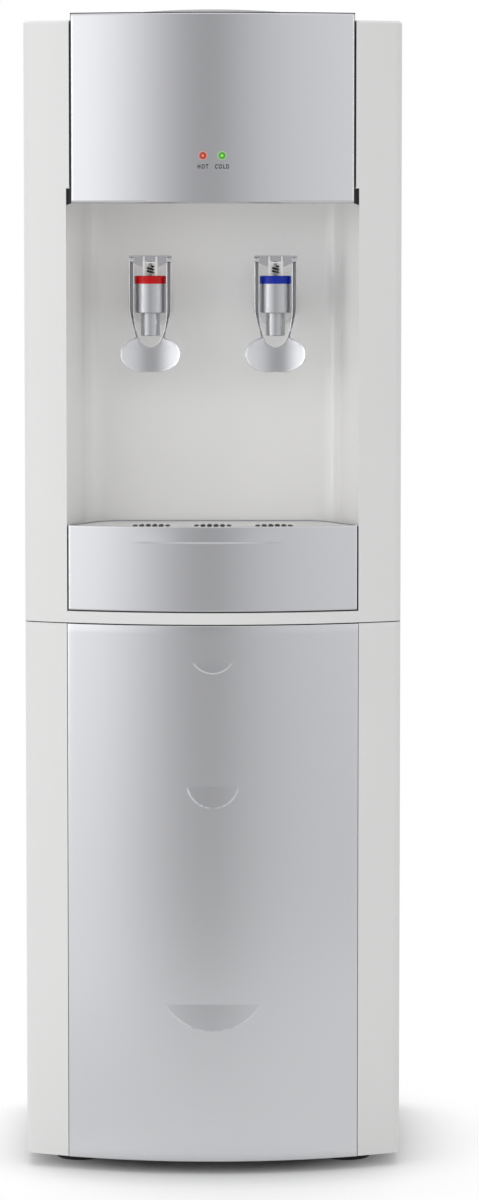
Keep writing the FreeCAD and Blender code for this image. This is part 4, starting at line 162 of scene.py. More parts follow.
# How bright the room's wall is in a mirror, by the angle in degrees from straight behind the camera.
WALL_LEVELS = [(-180, 0.95), (-90, 1.0), (-46, 1.42), (-35, 1.38), (-24, 1.04), (-11, 0.58), (-4, 0.42),
               (1, 0.42), (9, 0.66), (20, 0.82), (38, 0.93), (180, 0.95)]
CEILING_LEVEL = 0.95
GROUND_LEVEL = 0.62
DAYLIGHT_LEFT, DAYLIGHT_RIGHT = 0.76, 0.62
PAPER_RADIUS = 1.35
SHADOW_REACH = (0.16, 0.52)


def aim(thing, place, target):
    """Stand a lamp at place, looking at target."""
    thing.location = place
    thing.rotation_euler = (Vector(target) - Vector(place)).to_track_quat("-Z", "Y").to_euler()


def set_camera():
    """A long lens in front of the cooler, a little to the right and tilted down."""
    data = bpy.data.cameras.new("front_camera")
    data.lens = 139.65
    data.sensor_width = 36.0
    data.clip_end = 50.0
    pitch = 4.87
    camera = placed("front_camera", data)
    camera.location = (0.025, -4.59, 0.9276)
    camera.rotation_euler = (math.radians(90 - pitch), 0, 0)
    bpy.context.scene.camera = camera


def softbox(name, place, target, size, radiance, mirrored=True):
    """A soft rectangular lamp, given by how bright its face is."""
    data = bpy.data.lights.new(name, "AREA")
    data.shape = "RECTANGLE"
    data.size, data.size_y = size
    data.energy = radiance * math.pi * size[0] * size[1]
    lamp = placed(name, data)
    aim(lamp, place, target)
    lamp.visible_camera = False
    lamp.visible_glossy = mirrored


def set_room():
    """White room to the eye; in metal it is dimmer straight behind the camera."""
    world = bpy.data.worlds.new("white_room")
    bpy.context.scene.world = world
    world.use_nodes = True
    tree = world.node_tree
    tree.nodes.clear()
    way = add(tree, "ShaderNodeSeparateXYZ", add(tree, "ShaderNodeTexCoord").outputs["Generated"]).outputs
    turn = reckon(tree, "ARCTAN2", way["X"], reckon(tree, "MULTIPLY", way["Y"], -1))
    share = carry(tree, turn, From_Min=-math.pi, From_Max=math.pi)
    wall = colour_ramp(tree, share, [(angle / 360 + 0.5, (level, level, level * 1.01))
                                     for angle, level in WALL_LEVELS])
    above = carry(tree, way["Z"], "SMOOTHSTEP", From_Min=0.3, From_Max=0.75)
    below = carry(tree, way["Z"], From_Min=-0.04, From_Max=-0.2, To_Max=0.8)
    ground = between(tree, below, between(tree, above, wall, grey(CEILING_LEVEL)), grey(GROUND_LEVEL))
    daylight = carry(tree, way["X"], From_Min=-1.0, To_Min=DAYLIGHT_LEFT, To_Max=DAYLIGHT_RIGHT)
    white = (1, 1, 1, 1)
    seen = add(tree, "ShaderNodeBackground", Color=white).outputs[0]
    mirrored = add(tree, "ShaderNodeBackground", Color=ground).outputs[0]
    light = add(tree, "ShaderNodeBackground", Color=white, Strength=daylight).outputs[0]
    rays = add(tree, "ShaderNodeLightPath").outputs
    shiny = reckon(tree, "MAXIMUM", rays["Is Glossy Ray"], rays["Is Transmission Ray"])
    lit = add(tree, "ShaderNodeMixShader", shiny, light, mirrored).outputs[0]
    shown = add(tree, "ShaderNodeMixShader", rays["Is Camera Ray"], lit, seen).outputs[0]
    add(tree, "ShaderNodeOutputWorld", Surface=shown)


def lay_floor():
    """A round sheet of white paper that keeps the cooler's shadow and fades to plain white; near the cooler
    an occlusion term darkens its colour as painted shade.
    """
    work = bmesh.new()
    bmesh.ops.create_circle(work, cap_ends=True, segments=96, radius=PAPER_RADIUS)
    mesh = bpy.data.meshes.new("studio_floor")
    work.to_mesh(mesh)
    work.free()
    floor = placed("studio_floor", mesh)
    paper = bpy.data.materials.new("white_paper")
    paper.use_nodes = True
    tree = paper.node_tree
    tree.nodes.clear()
    rays = add(tree, "ShaderNodeLightPath").outputs
    seen = reckon(tree, "MAXIMUM", rays["Is Camera Ray"], rays["Is Glossy Ray"])
    through = reckon(tree, "MAXIMUM", seen, rays["Is Transmission Ray"])
    tone = between(tree, through, grey(0.84), grey(1.08))
    # Painted shade: ambient occlusion darkens the paper's colour near the cooler, deepening its contact
    # shadow.
    painted_contact_shade = add(tree, "ShaderNodeAmbientOcclusion", samples=8, Distance=0.08).outputs["AO"]
    shade = between(tree, reckon(tree, "POWER", painted_contact_shade, 1.6), grey(0.6), tone)
    matt = add(tree, "ShaderNodeBsdfDiffuse", Color=shade).outputs[0]
    place = add(tree, "ShaderNodeTexCoord").outputs["Object"]
    narrow = add(tree, "ShaderNodeVectorMath", place, (1.4, 1, 1), operation="MULTIPLY").outputs[0]
    away = add(tree, "ShaderNodeVectorMath", narrow, operation="LENGTH").outputs["Value"]
    far = carry(tree, away, "SMOOTHSTEP", From_Min=SHADOW_REACH[0], From_Max=SHADOW_REACH[1])
    fade = reckon(tree, "MULTIPLY", far, through)
    level = carry(tree, rays["Is Camera Ray"], To_Min=0.84, To_Max=1.0)
    white = add(tree, "ShaderNodeEmission", Strength=level).outputs[0]
    blend = add(tree, "ShaderNodeMixShader", fade, matt, white).outputs[0]
    add(tree, "ShaderNodeOutputMaterial", Surface=blend)
    mesh.materials.append(paper)


def light_studio():
    """The room, the floor and the lamps; only the two strips show in the silver."""
    set_room()
    lay_floor()
    softbox("left_softbox", (-1.75, -2.1, 1.25), (0, 0, 0.75), (1.1, 1.9), 1.1, mirrored=False)
    softbox("left_strip", (-2.3, -1.35, 1.1), (0, 0, 0.8), (0.3, 1.9), 3.5)
    softbox("right_softbox", (2.0, -2.0, 1.2), (0, 0, 0.75), (0.7, 1.7), 0.6, mirrored=False)
    softbox("right_strip", (2.3, -1.2, 1.1), (0, 0, 0.8), (0.2, 1.7), 2.0)
    softbox("top_softbox", (-0.3, 0.9, 2.9), (0, 0, 0), (2.4, 2.4), 1.7, mirrored=False)
    softbox("front_softbox", (0.4, -3.6, 1.9), (0, 0, 0.85), (1.6, 1.2), 1.1, mirrored=False)


# ---------------------------------------------------------------- finishes

def shader_group(name, inputs, *outputs):
    """A shader group that works on a place and puts out numbers."""
    return new_group(name, "ShaderNodeTree", {"Place": (0.0, 0.0, 0.0), **inputs},
                     dict.fromkeys(outputs, "NodeSocketFloat"))


def noise(tree, place, scale, detail, roughness=0.5):
    """A noise texture on the given coordinates."""
    return add(tree, "ShaderNodeTexNoise", Vector=place, Scale=scale, Detail=detail,
               Roughness=roughness).outputs["Fac"]


def moulded_grain():
    """Fine spark-eroded grain of moulded plastic, and slow cloudy drift across a panel."""
    tree, given, out = shader_group("moulded_grain", {"Grain Scale": 1400.0, "Cloud Scale": 6.0},
                                    "Height", "Cloud", "Speckle")
    place, fine = given["Place"], given["Grain Scale"]
    pits = add(tree, "ShaderNodeTexVoronoi", Vector=place, Scale=fine)
    put(tree, out["Height"], noise(tree, place, fine, 3.0, 0.6))
    put(tree, out["Cloud"], noise(tree, place, given["Cloud Scale"], 2.0))
    put(tree, out["Speckle"], pits.outputs["Distance"])
    return tree


def rubbed_streaks():
    """Long fine streaks of a rolled or brushed metal along one axis."""
    tree, given, out = shader_group("rubbed_streaks", {"Stretch": (1, 1, 1), "Streak Scale": 500.0},
                                    "Height", "Streak")
    pull = add(tree, "ShaderNodeVectorMath", given["Place"], given["Stretch"], operation="MULTIPLY")
    fine = noise(tree, pull.outputs[0], given["Streak Scale"], 4.0, 0.65)
    put(tree, out["Height"], fine)
    put(tree, out["Streak"], fine)
    return tree


def settled_dust():
    """Dust that gathers low down, in patches."""
    tree, given, out = shader_group("settled_dust", {"Reach": 0.05}, "Dust")
    height = add(tree, "ShaderNodeSeparateXYZ", given["Place"]).outputs["Z"]
    low = carry(tree, height, From_Max=given["Reach"], To_Min=1.0, To_Max=0.0)
    patch = noise(tree, given["Place"], 90.0, 4.0, 0.7)
    put(tree, out["Dust"], reckon(tree, "MULTIPLY", low, patch))
    return tree


GRAIN = moulded_grain()
STREAKS = rubbed_streaks()
DUST = settled_dust()


def start_finish(name):
    """A new material, its tree, its shader and the place on the piece."""
    material = bpy.data.materials.new(name)
    material.use_nodes = True
    tree = material.node_tree
    return material, tree, tree.nodes["Principled BSDF"], add(tree, "ShaderNodeTexCoord").outputs["Object"]


def use_group(tree, group, place, **values):
    """A shared group on the given coordinates; gives its outputs."""
    return add(tree, "ShaderNodeGroup", node_tree=group, Place=place, **values).outputs


def bump(tree, height, distance):
    """The normal of a surface with this relief, at full strength."""
    return add(tree, "ShaderNodeBump", Height=height, Distance=distance, Strength=1.0).outputs[0]


def ranged(tree, value, low, high):
    """A share carried over to between low and high."""
    return carry(tree, value, To_Min=low, To_Max=high)


def drifting(tree, share, colour, drift):
    """The colour, darker by the drift where the share is full."""
    return between(tree, share, colour, tuple(channel * drift for channel in colour))


def moulded(name, colour, drift=0.97, roughness=(0.34, 0.42), relief=0.00002, scale=1400.0,
            metallic=0.0, coat=0.0, specular=0.5, glow=0.0):
    """Moulded or painted skin: grain, cloudy drift of shade and gloss."""
    material, tree, shader, place = start_finish(name)
    grain = use_group(tree, GRAIN, place, Grain_Scale=scale, Cloud_Scale=7.0)
    fill(tree, shader, Base_Color=drifting(tree, grain["Cloud"], colour, drift),
         Roughness=ranged(tree, grain["Speckle"], *roughness), Normal=bump(tree, grain["Height"], relief),
         Metallic=metallic, Coat_Weight=coat, Coat_Roughness=0.12, Specular_IOR_Level=specular)
    if glow:
        fill(tree, shader, Emission_Color=(*colour, 1), Emission_Strength=glow)
    return material


def metal(name, colour, drift, roughness, stretch, relief=0.00001, scale=600.0):
    """Bare or plated metal with streaks from how it was drawn or turned."""
    material, tree, shader, place = start_finish(name)
    streaks = use_group(tree, STREAKS, place, Stretch=stretch, Streak_Scale=scale)
    fill(tree, shader, Base_Color=drifting(tree, streaks["Streak"], colour, drift), Metallic=1.0,
         Roughness=ranged(tree, streaks["Streak"], *roughness), Normal=bump(tree, streaks["Height"], relief))
    return material


def dusty(name, colour, dust_colour, roughness, relief, reach, scale=900.0):
    """Dark rubber or paint that picks up dust near the floor."""
    material, tree, shader, place = start_finish(name)
    grain = use_group(tree, GRAIN, place, Grain_Scale=scale, Cloud_Scale=30.0)
    dust = use_group(tree, DUST, place, Reach=reach)
    fill(tree, shader, Base_Color=between(tree, dust["Dust"], colour, dust_colour),
         Roughness=ranged(tree, grain["Speckle"], *roughness), Normal=bump(tree, grain["Height"], relief))
    return material


def board_green():
    """Green circuit board with its paler tracks."""
    material, tree, shader, place = start_finish("board_green")
    tracks = add(tree, "ShaderNodeTexBrick", Vector=place, Color1=(0.03, 0.22, 0.09, 1),
                 Color2=(0.035, 0.26, 0.1, 1), Mortar=(0.1, 0.42, 0.2, 1), Scale=140.0,
                 Mortar_Size=0.03).outputs
    fill(tree, shader, Base_Color=tracks["Color"], Normal=bump(tree, tracks["Fac"], 0.00005), Roughness=0.4)
    return material


def lit_lens(name, middle, stops):
    """A lamp lens lit from behind: shades by the distance from its middle, with a painted highlight at the
    middle.
    """
    material, tree, shader, place = start_finish(name)
    flat = add(tree, "ShaderNodeVectorMath", place, (1, 0, 1), (-middle.x, 0, -middle.z),
               operation="MULTIPLY_ADD").outputs[0]
    away = add(tree, "ShaderNodeVectorMath", flat, operation="LENGTH").outputs["Value"]
    reach = stops[-1][0]
    share = carry(tree, away, From_Max=reach)
    glow = colour_ramp(tree, share, [(at / reach, colour) for at, colour in stops])
    grain = use_group(tree, GRAIN, place, Grain_Scale=2600.0, Cloud_Scale=400.0)
    fill(tree, shader, Base_Color=glow, Emission_Color=glow, Emission_Strength=0.4,
         Roughness=ranged(tree, grain["Cloud"], 0.08, 0.16), Normal=bump(tree, grain["Height"], 0.000004))
    return material


def mix_finishes():
    """One finish for each material slot of the record, and two for parts of a piece: satin silver for the tap
    bodies, and a plain grey that paints shade in the hollow of the lever's arms.
    """
    smooth, polished, plated = (0.22, 0.3), (0.08, 0.14), dict(scale=2600.0, metallic=1.0)
    return {
        "white_plastic": moulded("white_plastic", (0.78, 0.78, 0.775)),
        # The niche is the same white plastic; its lighter colour is painted light that makes up for the shade
        # inside the niche.
        "niche_plastic": moulded("niche_plastic", (0.9, 0.896, 0.888), roughness=(0.16, 0.22)),
        "white_steel": moulded("white_steel", (0.78, 0.78, 0.772), roughness=(0.38, 0.48), relief=0.00004,
                               scale=500.0),
        "silver": moulded("silver", (0.65, 0.655, 0.675), 0.985, (0.2, 0.25), 0.000006, **plated),
        "satin_silver": moulded("satin_silver", (0.53, 0.535, 0.55), 0.985, (0.36, 0.42), 0.000006, **plated),
        "red_plastic": moulded("red_plastic", (0.56, 0.001, 0.004), 0.9, smooth, specular=0.25),
        "blue_plastic": moulded("blue_plastic", (0.002, 0.022, 0.36), 0.9, smooth, specular=0.25),
        "red_lens": moulded("red_lens", (0.72, 0.03, 0.03), 0.85, polished, 0.000005, coat=0.6, glow=0.25),
        "green_lens": moulded("green_lens", (0.08, 0.5, 0.12), 0.85, polished, 0.000005, coat=0.6, glow=0.2),
        "black_rubber": dusty("black_rubber", (0.012, 0.012, 0.013), (0.04, 0.04, 0.038), (0.6, 0.8),
                              0.00008, 0.03),
        "black_plastic": moulded("black_plastic", (0.022, 0.022, 0.025), 0.8, (0.4, 0.5), 0.00004, 1100.0),
        "grey_plastic": moulded("grey_plastic", (0.27, 0.28, 0.29), 0.93, (0.38, 0.48), 0.00003),
        # Painted shade: a plain grey that darkens the hollow of the lever's arms.
        "groove_grey": moulded("groove_grey", (0.42, 0.42, 0.43), 0.9, (0.4, 0.5)),
        "zinc": metal("zinc", (0.6, 0.6, 0.61), 0.85, (0.3, 0.42), (1, 1, 0.2), 0.00002, 350.0),
        "spring_steel": metal("spring_steel", (0.05, 0.05, 0.052), 0.85, (0.3, 0.4), (1, 1, 1)),
        "black_metal": dusty("black_metal", (0.02, 0.02, 0.022), (0.1, 0.1, 0.095), (0.35, 0.48),
                             0.00004, 0.9, 500.0),
        "copper": metal("copper", (0.72, 0.33, 0.2), 0.8, (0.22, 0.36), (1, 1, 0.3), 0.00001, 260.0),
        "stainless": metal("stainless", (0.62, 0.61, 0.6), 0.9, (0.2, 0.32), (1, 1, 0.04), 0.000008, 700.0),
        "foam": moulded("foam", (0.82, 0.8, 0.72), 0.9, (0.8, 0.95), 0.0006, 260.0),
        "hose": moulded("hose", (0.78, 0.8, 0.8), 0.94, (0.28, 0.36), 0.00001, coat=0.3),
        "board": board_green(),
        "magnet": moulded("magnet", (0.05, 0.045, 0.045), 0.8, (0.5, 0.6), 0.00005, 800.0),
    }


FINISH = mix_finishes()


def dress_nodes():
    """Give every carried-over CAD node the finish of its slot; the tap bodies are satin."""
    for entry in frame["record"]["subparts"]:
        name, slot = entry["node"], entry["material_slot"]
        piece = frame["nodes"][name]
        piece.data.materials.clear()
        piece.data.materials.append(FINISH["satin_silver" if name.endswith("tap_body") else slot])


# ---------------------------------------------------------------- mesh helpers

BOW = 0.385
BOW_Y = 0.19575
FRONT = -0.18925


def bowed(x):
    """Where the front's bow lies at x."""
    return BOW_Y - math.sqrt(BOW * BOW - x * x)


def finished(name, mesh, slot, body, *nodes):
    """A mesh as a piece of the cooler: its finish, its body and the CAD nodes it stands for."""
    piece = placed(name, mesh)
    if not mesh.materials:
        mesh.materials.append(FINISH[slot])
    if body:
        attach(piece, body)
    if nodes:
        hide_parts(*nodes)
    return piece


def box_middle(node):
    """The two corners of a CAD node's box and the point between them."""
    low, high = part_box(node)
    return low, high, (low + high) / 2


def mesh_from(name, places, faces, angle, distance=1e-6):
    """A smooth welded mesh of the places and faces."""
    mesh = bpy.data.meshes.new(name)
    mesh.from_pydata([tuple(place) for place in places], [], faces)
    mesh.update()
    mesh.polygons.foreach_set("use_smooth", [True] * len(mesh.polygons))
    return weld(mesh, angle, distance)


def weld(mesh, angle, distance=1e-6):
    """Merge doubles and turn the faces outwards; edges over the angle in degrees stay crisp."""
    work = bmesh.new()
    work.from_mesh(mesh)
    bmesh.ops.remove_doubles(work, verts=work.verts, dist=distance)
    bmesh.ops.dissolve_degenerate(work, edges=work.edges, dist=distance / 4)
    bmesh.ops.recalc_face_normals(work, faces=work.faces)
    keep_crisp(work, angle)
    work.to_mesh(mesh)
    work.free()
    return mesh


def keep_crisp(work, angle):
    """Shade smooth over every edge that turns by less than the angle."""
    for edge in work.edges:
        edge.smooth = edge.calc_face_angle(0.0) < math.radians(angle)


def add_block(work, low, high, bevel, segments=2):
    """A block with rounded edges in a bmesh."""
    size = [b - a for a, b in zip(low, high)]
    centre = [(a + b) / 2 for a, b in zip(low, high)]
    matrix = Matrix.Translation(centre) @ Matrix.Diagonal((*size, 1))
    made = bmesh.ops.create_cube(work, size=1, matrix=matrix)
    edges = list({edge for vert in made["verts"] for edge in vert.link_edges})
    bmesh.ops.bevel(work, geom=edges, offset=bevel, segments=segments, affect="EDGES", profile=0.5)


def add_rod(work, start, end, radius, sides, bevel=0.0):
    """A round bar between two points."""
    axis = Vector(end) - Vector(start)
    turn = axis.to_track_quat("Z", "Y").to_matrix().to_4x4()
    matrix = Matrix.Translation((Vector(start) + Vector(end)) / 2) @ turn
    made = bmesh.ops.create_cone(work, cap_ends=True, segments=sides, radius1=radius,
                                 radius2=radius, depth=axis.length, matrix=matrix)
    if bevel:
        rims = {edge for vert in made["verts"] for edge in vert.link_edges
                if abs((edge.verts[0].co - edge.verts[1].co).normalized().dot(axis.normalized())) < 0.1}
        bmesh.ops.bevel(work, geom=list(rims), offset=bevel, segments=2, affect="EDGES", profile=0.5)


def turned(profile, place, sides=48, first=0):
    """A profile turned once about an axis: place(radius * cos, radius * sin, height) sets each point."""
    places, faces = [], []
    wide = len(profile)
    for step in range(sides):
        turn = math.tau * step / sides
        places += [place(r * math.cos(turn), r * math.sin(turn), level) for r, level in profile]
        a, b = first + step * wide, first + (step + 1) % sides * wide
        faces += [(a + j, b + j, b + j + 1, a + j + 1) for j in range(wide - 1)]
    return places, faces


def smooth_step(share):
    """A share eased in and out."""
    share = min(max(share, 0.0), 1.0)
    return share * share * (3 - 2 * share)


def spread(low, high, count, rim):
    """Places across a plate, close together near both rims where the edge rolls over."""
    near = [low + rim * step for step in (0.0, 0.04, 0.15, 0.32, 0.6, 1.0)]
    far = [high - (place - low) for place in reversed(near)]
    first, last = near[-1], far[0]
    middle = [first + (last - first) * i / count for i in range(1, count)]
    return near + middle + far


def rolled(depth, rim):
    """How far a rounded edge falls back at a depth in from the edge."""
    if depth >= rim:
        return 0.0
    return rim - math.sqrt(max(rim * rim - (rim - depth) ** 2, 0.0))


def rim_pairs(low, high, edge):
    """Close pairs of places where the rims of a tray-shaped plate begin."""
    return [low + edge[0], low + edge[0] + 0.0001, high - edge[0] - 0.0001, high - edge[0]] if edge else []


def bowed_plate(name, half, low, top, thickness, rise, columns, rows, rim=0.0009, edge=None,
                extra=((), ())):
    """Closed bowed plate whose front stands out by rise(x, z) and whose edges are rolled.

    With edge as (wall, depth) the plate is a shallow tray whose rims reach back to that depth.
    Extra holds more columns and rows, for where the relief is fine.
    """
    xs = sorted(spread(-half, half, columns, rim) + list(extra[0]) + rim_pairs(-half, half, edge))
    zs = sorted(spread(low, top, rows, rim) + list(extra[1]) + rim_pairs(low, top, edge))
    front, back = [], []
    for x in xs:
        for z in zs:
            fall = rolled(min(x + half, half - x), rim) + rolled(min(z - low, top - z), rim)
            front.append((x, bowed(x) + min(fall, thickness * 0.8) - rise(x, z), z))
            inside = not edge or min(x + half, half - x, z - low, top - z) > edge[0] + 0.00005
            back.append((x, bowed(x) + (thickness if inside else edge[1]), z))
    wide, tall, count = len(xs), len(zs), len(front)
    faces = []
    for i in range(wide - 1):
        for j in range(tall - 1):
            a = i * tall + j
            faces.append((a, a + tall, a + tall + 1, a + 1))
            faces.append((a + count, a + count + 1, a + count + tall + 1, a + count + tall))
    ring = [i * tall for i in range(wide)] + [(wide - 1) * tall + j for j in range(1, tall)]
    ring += [i * tall + tall - 1 for i in range(wide - 2, -1, -1)] + list(range(tall - 2, 0, -1))
    for a, b in zip(ring, ring[1:] + ring[:1]):
        faces.append((a, a + count, b + count, b))
    return mesh_from(name, front + back, faces, 50)


def bowed_strip(name, inner, outer, near, far):
    """A narrow band between two lines of (x, z) that follows the bow, set back behind it."""
    pairs = []
    runs = list(zip(inner, outer))
    for (a, b), (c, d) in zip(runs, runs[1:]):
        steps = 40 if abs(a[0] - c[0]) > 0.05 else 1
        for share in (step / steps for step in range(steps)):
            pairs.append([(p[0] + (q[0] - p[0]) * share, p[1] + (q[1] - p[1]) * share)
                          for p, q in ((a, c), (b, d))])
    pairs.append(runs[-1])
    places = [(x, bowed(x) + back, z) for pair in pairs for x, z in pair for back in (near, far)]
    faces = []
    for a in range(0, len(places) - 4, 4):
        b = a + 4
        faces += [(a, b, b + 2, a + 2), (a + 2, b + 2, b + 3, a + 3), (a + 3, b + 3, b + 1, a + 1),
                  (a + 1, b + 1, b, a)]
    last = len(places) - 4
    faces += [(0, 2, 3, 1), (last, last + 1, last + 3, last + 2)]
    return mesh_from(name, places, faces, 40)


# ---------------------------------------------------------------- bowed fronts

# Each crescent's width, height, level of its straight top, how proud it starts and ends, and its lip.
CRESCENTS = ((0.0372, 0.0100, 0.4920, 0.0003, 0.0008, 0.0008),
             (0.0492, 0.0201, 0.3735, 0.0001, 0.0014, 0.0003),
             (0.0924, 0.0260, 0.1644, 0.0, 0.0011, 0.0003))
LEDGE = 0.6067


def crescent_rise(x, z):
    """The door's three raised crescents: soft along the top, crisp at the round bottom edge."""
    for width, height, top, start, rise, lip in CRESCENTS:
        half = width / 2
        radius = (half * half + height * height) / (height * 2)
        if abs(x) > half + 0.002 or not top - height - 0.002 < z < top + 0.004:
            continue
        centre = top - height + radius
        inside = radius - math.hypot(x, z - centre)
        edge = smooth_step(inside / lip)
        ends = smooth_step((top + 0.001 - z) / 0.002)
        return edge * ends * (start + (rise - start) * min(max((top - z) / height, 0.0), 1.0))
    return 0.0


def make_door_face():
    """Silver face of the door with its raised crescents."""
    low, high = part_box("door_skin")
    across, along = 0.0008, 0.0004
    columns = [step * across - 0.048 for step in range(121)]
    rows = [top + 0.0015 - step * along for _, height, top, *_ in CRESCENTS
            for step in range(round((height + 0.003) / along))]
    mesh = bowed_plate("door_face", (high.x - low.x) / 2, low.z, high.z, 0.005, crescent_rise, 40, 70,
                       extra=(columns, rows))
    finished("door_face", mesh, "silver", "door", "door_skin")


def scoop_rise(x, z):
    """The tray's finger ledge: it swells down to a crisp line and fades out to both sides."""
    if not LEDGE - 0.002 < z < LEDGE + 0.016:
        return 0.0
    side = smooth_step((0.078 - abs(x + 0.004)) / 0.05)
    drop = smooth_step((z - LEDGE + 0.0004) / 0.0012)
    fade = 1 - min(max((z - LEDGE) / 0.0125, 0.0), 1.0)
    return 0.0007 * side * drop * fade


def make_tray_face():
    """Silver front of the drip tray with its faint finger ledge, and a black strip round it that paints the
    shade in the gap.
    """
    low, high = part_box("tray_front")
    half = (high.x - low.x) / 2
    gap = 0.0007
    mesh = bowed_plate("tray_face", half - gap, low.z + gap, high.z, 0.003, scoop_rise, 110, 130)
    finished("tray_face", mesh, "silver", "tray", "tray_front")
    lines = [[(-side, high.z - 0.001), (-side, foot), (side, foot), (side, high.z - 0.001)]
             for side, foot in ((half - gap, low.z + gap), (half, low.z))]
    # A black strip set back in the gap round the tray front paints the shade of that gap.
    mesh = bowed_strip("tray_edge_trim", *lines, 0.0005, 0.0028)
    finished("tray_edge_trim", mesh, "black_rubber", "tray")


def make_panel_face():
    """Silver panel over the niche, slanted back along its edges, and a black strip in the gap round it that
    paints the shade there.
    """
    low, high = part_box("upper_panel")
    half = (high.x - low.x) / 2
    slant = 0.0016

    def fall(x, z):
        return -slant * (max(1 - (z - low.z) / slant, 0.0) + max(1 - (high.z - z) / slant, 0.0))

    mesh = bowed_plate("panel_face", half, low.z, high.z, 0.003, fall, 90, 40, rim=slant,
                       edge=(0.0031, 0.0082))
    finished("panel_face", mesh, "silver", "cabinet", "upper_panel")
    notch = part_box("niche_liner")[1].z - 0.003
    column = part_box("upper_front_frame")[1].z - 0.0008
    side, wide, proud = half + 0.0010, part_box("tray_front")[1].x + 0.0002, 0.0004
    inner = [(half, low.z), (half, notch), (half, notch), (half, column), (half, column), (half, high.z)]
    outer = [(wide, low.z - 0.0015), (wide, notch), (side, notch), (side, column),
             (half + proud, column), (half + proud, high.z + proud)]
    lines = [line + [(-x, z) for x, z in reversed(line)] for line in (inner, outer)]
    # A black strip set back in the gap round the panel paints the shade of that gap, of its notches and of
    # the band under it.
    mesh = bowed_strip("panel_edge_trim", *lines, 0.0022, 0.006)
    finished("panel_edge_trim", mesh, "black_rubber", "cabinet")


# ---------------------------------------------------------------- lamps and their words

# Colours of a lit lens by the distance from its middle; the bright middle stop is a painted highlight, the
# rest the glow of the lamp.
LENS_GLOW_AND_HIGHLIGHT = {
    "red": [(0.0, (1.0, 0.3, 0.18)), (0.0011, (0.58, 0.08, 0.04)), (0.0024, (0.16, 0.012, 0.008)),
            (0.0030, (0.36, 0.08, 0.06)), (0.0039, (0.5, 0.21, 0.19)), (0.0045, (0.36, 0.25, 0.25))],
    "green": [(0.0, (0.4, 0.95, 0.18)), (0.0011, (0.12, 0.5, 0.05)), (0.0024, (0.03, 0.15, 0.012)),
              (0.0030, (0.11, 0.32, 0.07)), (0.0039, (0.25, 0.42, 0.2)), (0.0045, (0.27, 0.34, 0.27))],
}


def make_lamp(colour):
    """Lamp lens: a domed lens that glows through a low round flange."""
    node = f"lamp_{colour}"
    low, high, middle = box_middle(node)
    flange = (high.x - low.x) / 2
    front = FRONT - 0.00018
    profile = [(0.0, low.y), (0.0010, low.y + 0.00006), (0.0019, low.y + 0.00022),
               (0.0025, low.y + 0.00045), (0.0029, low.y + 0.0008), (0.0031, front - 0.0002),
               (flange - 0.0005, front - 0.00022), (flange - 0.0001, front - 0.0001),
               (flange, front + 0.0002), (flange, front + 0.0006), (0.0030, front + 0.0006),
               (0.0030, high.y), (0.0, high.y)]
    places, faces = turned(profile, lambda across, up, y: (middle.x + across, y, middle.z + up))
    mesh = mesh_from(f"{colour}_lamp_lens", places, faces, 50)
    mesh.materials.append(lit_lens(f"{colour}_glow", middle, LENS_GLOW_AND_HIGHLIGHT[colour]))
    finished(f"{colour}_lamp_lens", mesh, f"{colour}_lens", "cabinet", node)


def make_words():
    """HOT and COLD in raised ink under the two lamps."""
    narrow, drop, seat = 0.73, 0.0104, 0.00005
    for word, lamp in (("HOT", "lamp_red"), ("COLD", "lamp_green")):
        middle = box_middle(lamp)[2]
        curve = bpy.data.curves.new(f"word_{word}", "FONT")
        curve.body = word
        curve.align_x = "CENTER"
        curve.align_y = "CENTER"
        curve.size = 5.5
        curve.space_character = 1.4
        curve.offset = 0.2
        curve.extrude = 0.06
        mesh = plain_mesh(placed(f"word_{word}", curve))
        mesh.name = f"word_{word}"
        mesh.materials.clear()
        for vert in mesh.vertices:
            across, up, out = vert.co * MM
            x = middle.x + across * narrow
            vert.co = (x, bowed(x) - seat - out, middle.z - drop + up)
        weld(mesh, 40, 1e-7)
        finished(f"word_{word}", mesh, "black_plastic", "cabinet")


# ---------------------------------------------------------------- taps

PIVOT = (-0.12425, 0.8745)

# The lever in millimetres: half widths, and drops below its pivot.
ARM_HALF, ARM_DRAW = 20.0, 5.6
OVAL_HALF, OVAL_TOP, OVAL_DEPTH, OVAL_FOOT = 15.8, 46, 38.5, 84.5
PADDLE_HALF, PADDLE_MIDDLE, PADDLE_FOOT = 28.8, 91, 108.2
RIM_STEPS = [0.0, 0.25, 0.6, 0.95, 1.3, 1.7]
HALF_THICK = 2.5


def lever_outside(drop):
    """Half width of the push lever at a drop below its pivot."""
    arm = ARM_HALF if drop < OVAL_TOP else ARM_HALF - ARM_DRAW * smooth_step((drop - OVAL_TOP) / 31)
    paddle = 0.0
    if 73 < drop < 109:
        tall, full = (18, 2.2) if drop > PADDLE_MIDDLE else (17, 2.4)
        paddle = PADDLE_HALF * max(1 - (abs(drop - PADDLE_MIDDLE) / tall) ** full, 0.0) ** (1 / full)
    if drop > 77:
        arm = 0.0
    return max(arm, paddle)


def lever_inside(drop):
    """Half width of the oval between the lever's arms."""
    if drop < OVAL_TOP:
        return OVAL_HALF
    if drop >= OVAL_FOOT:
        return 0.0
    return OVAL_HALF * math.sqrt(max(1 - ((drop - OVAL_TOP) / OVAL_DEPTH) ** 2.2, 0.0))


def lever_face(side, drop):
    """Where the lever's face lies in depth: the paddle is dished to take a cup."""
    share = smooth_step((drop - 62) / 18)
    return share * (1.4 - 5.9 * (side / PADDLE_HALF) ** 2.35 - 1.2 * smooth_step((drop - 84) / 24))


def outline_gap(side, drop, edge):
    """Distance from a point of the lever to the nearest rim."""
    return min(math.hypot(side - x, drop - z) for x, z in edge)


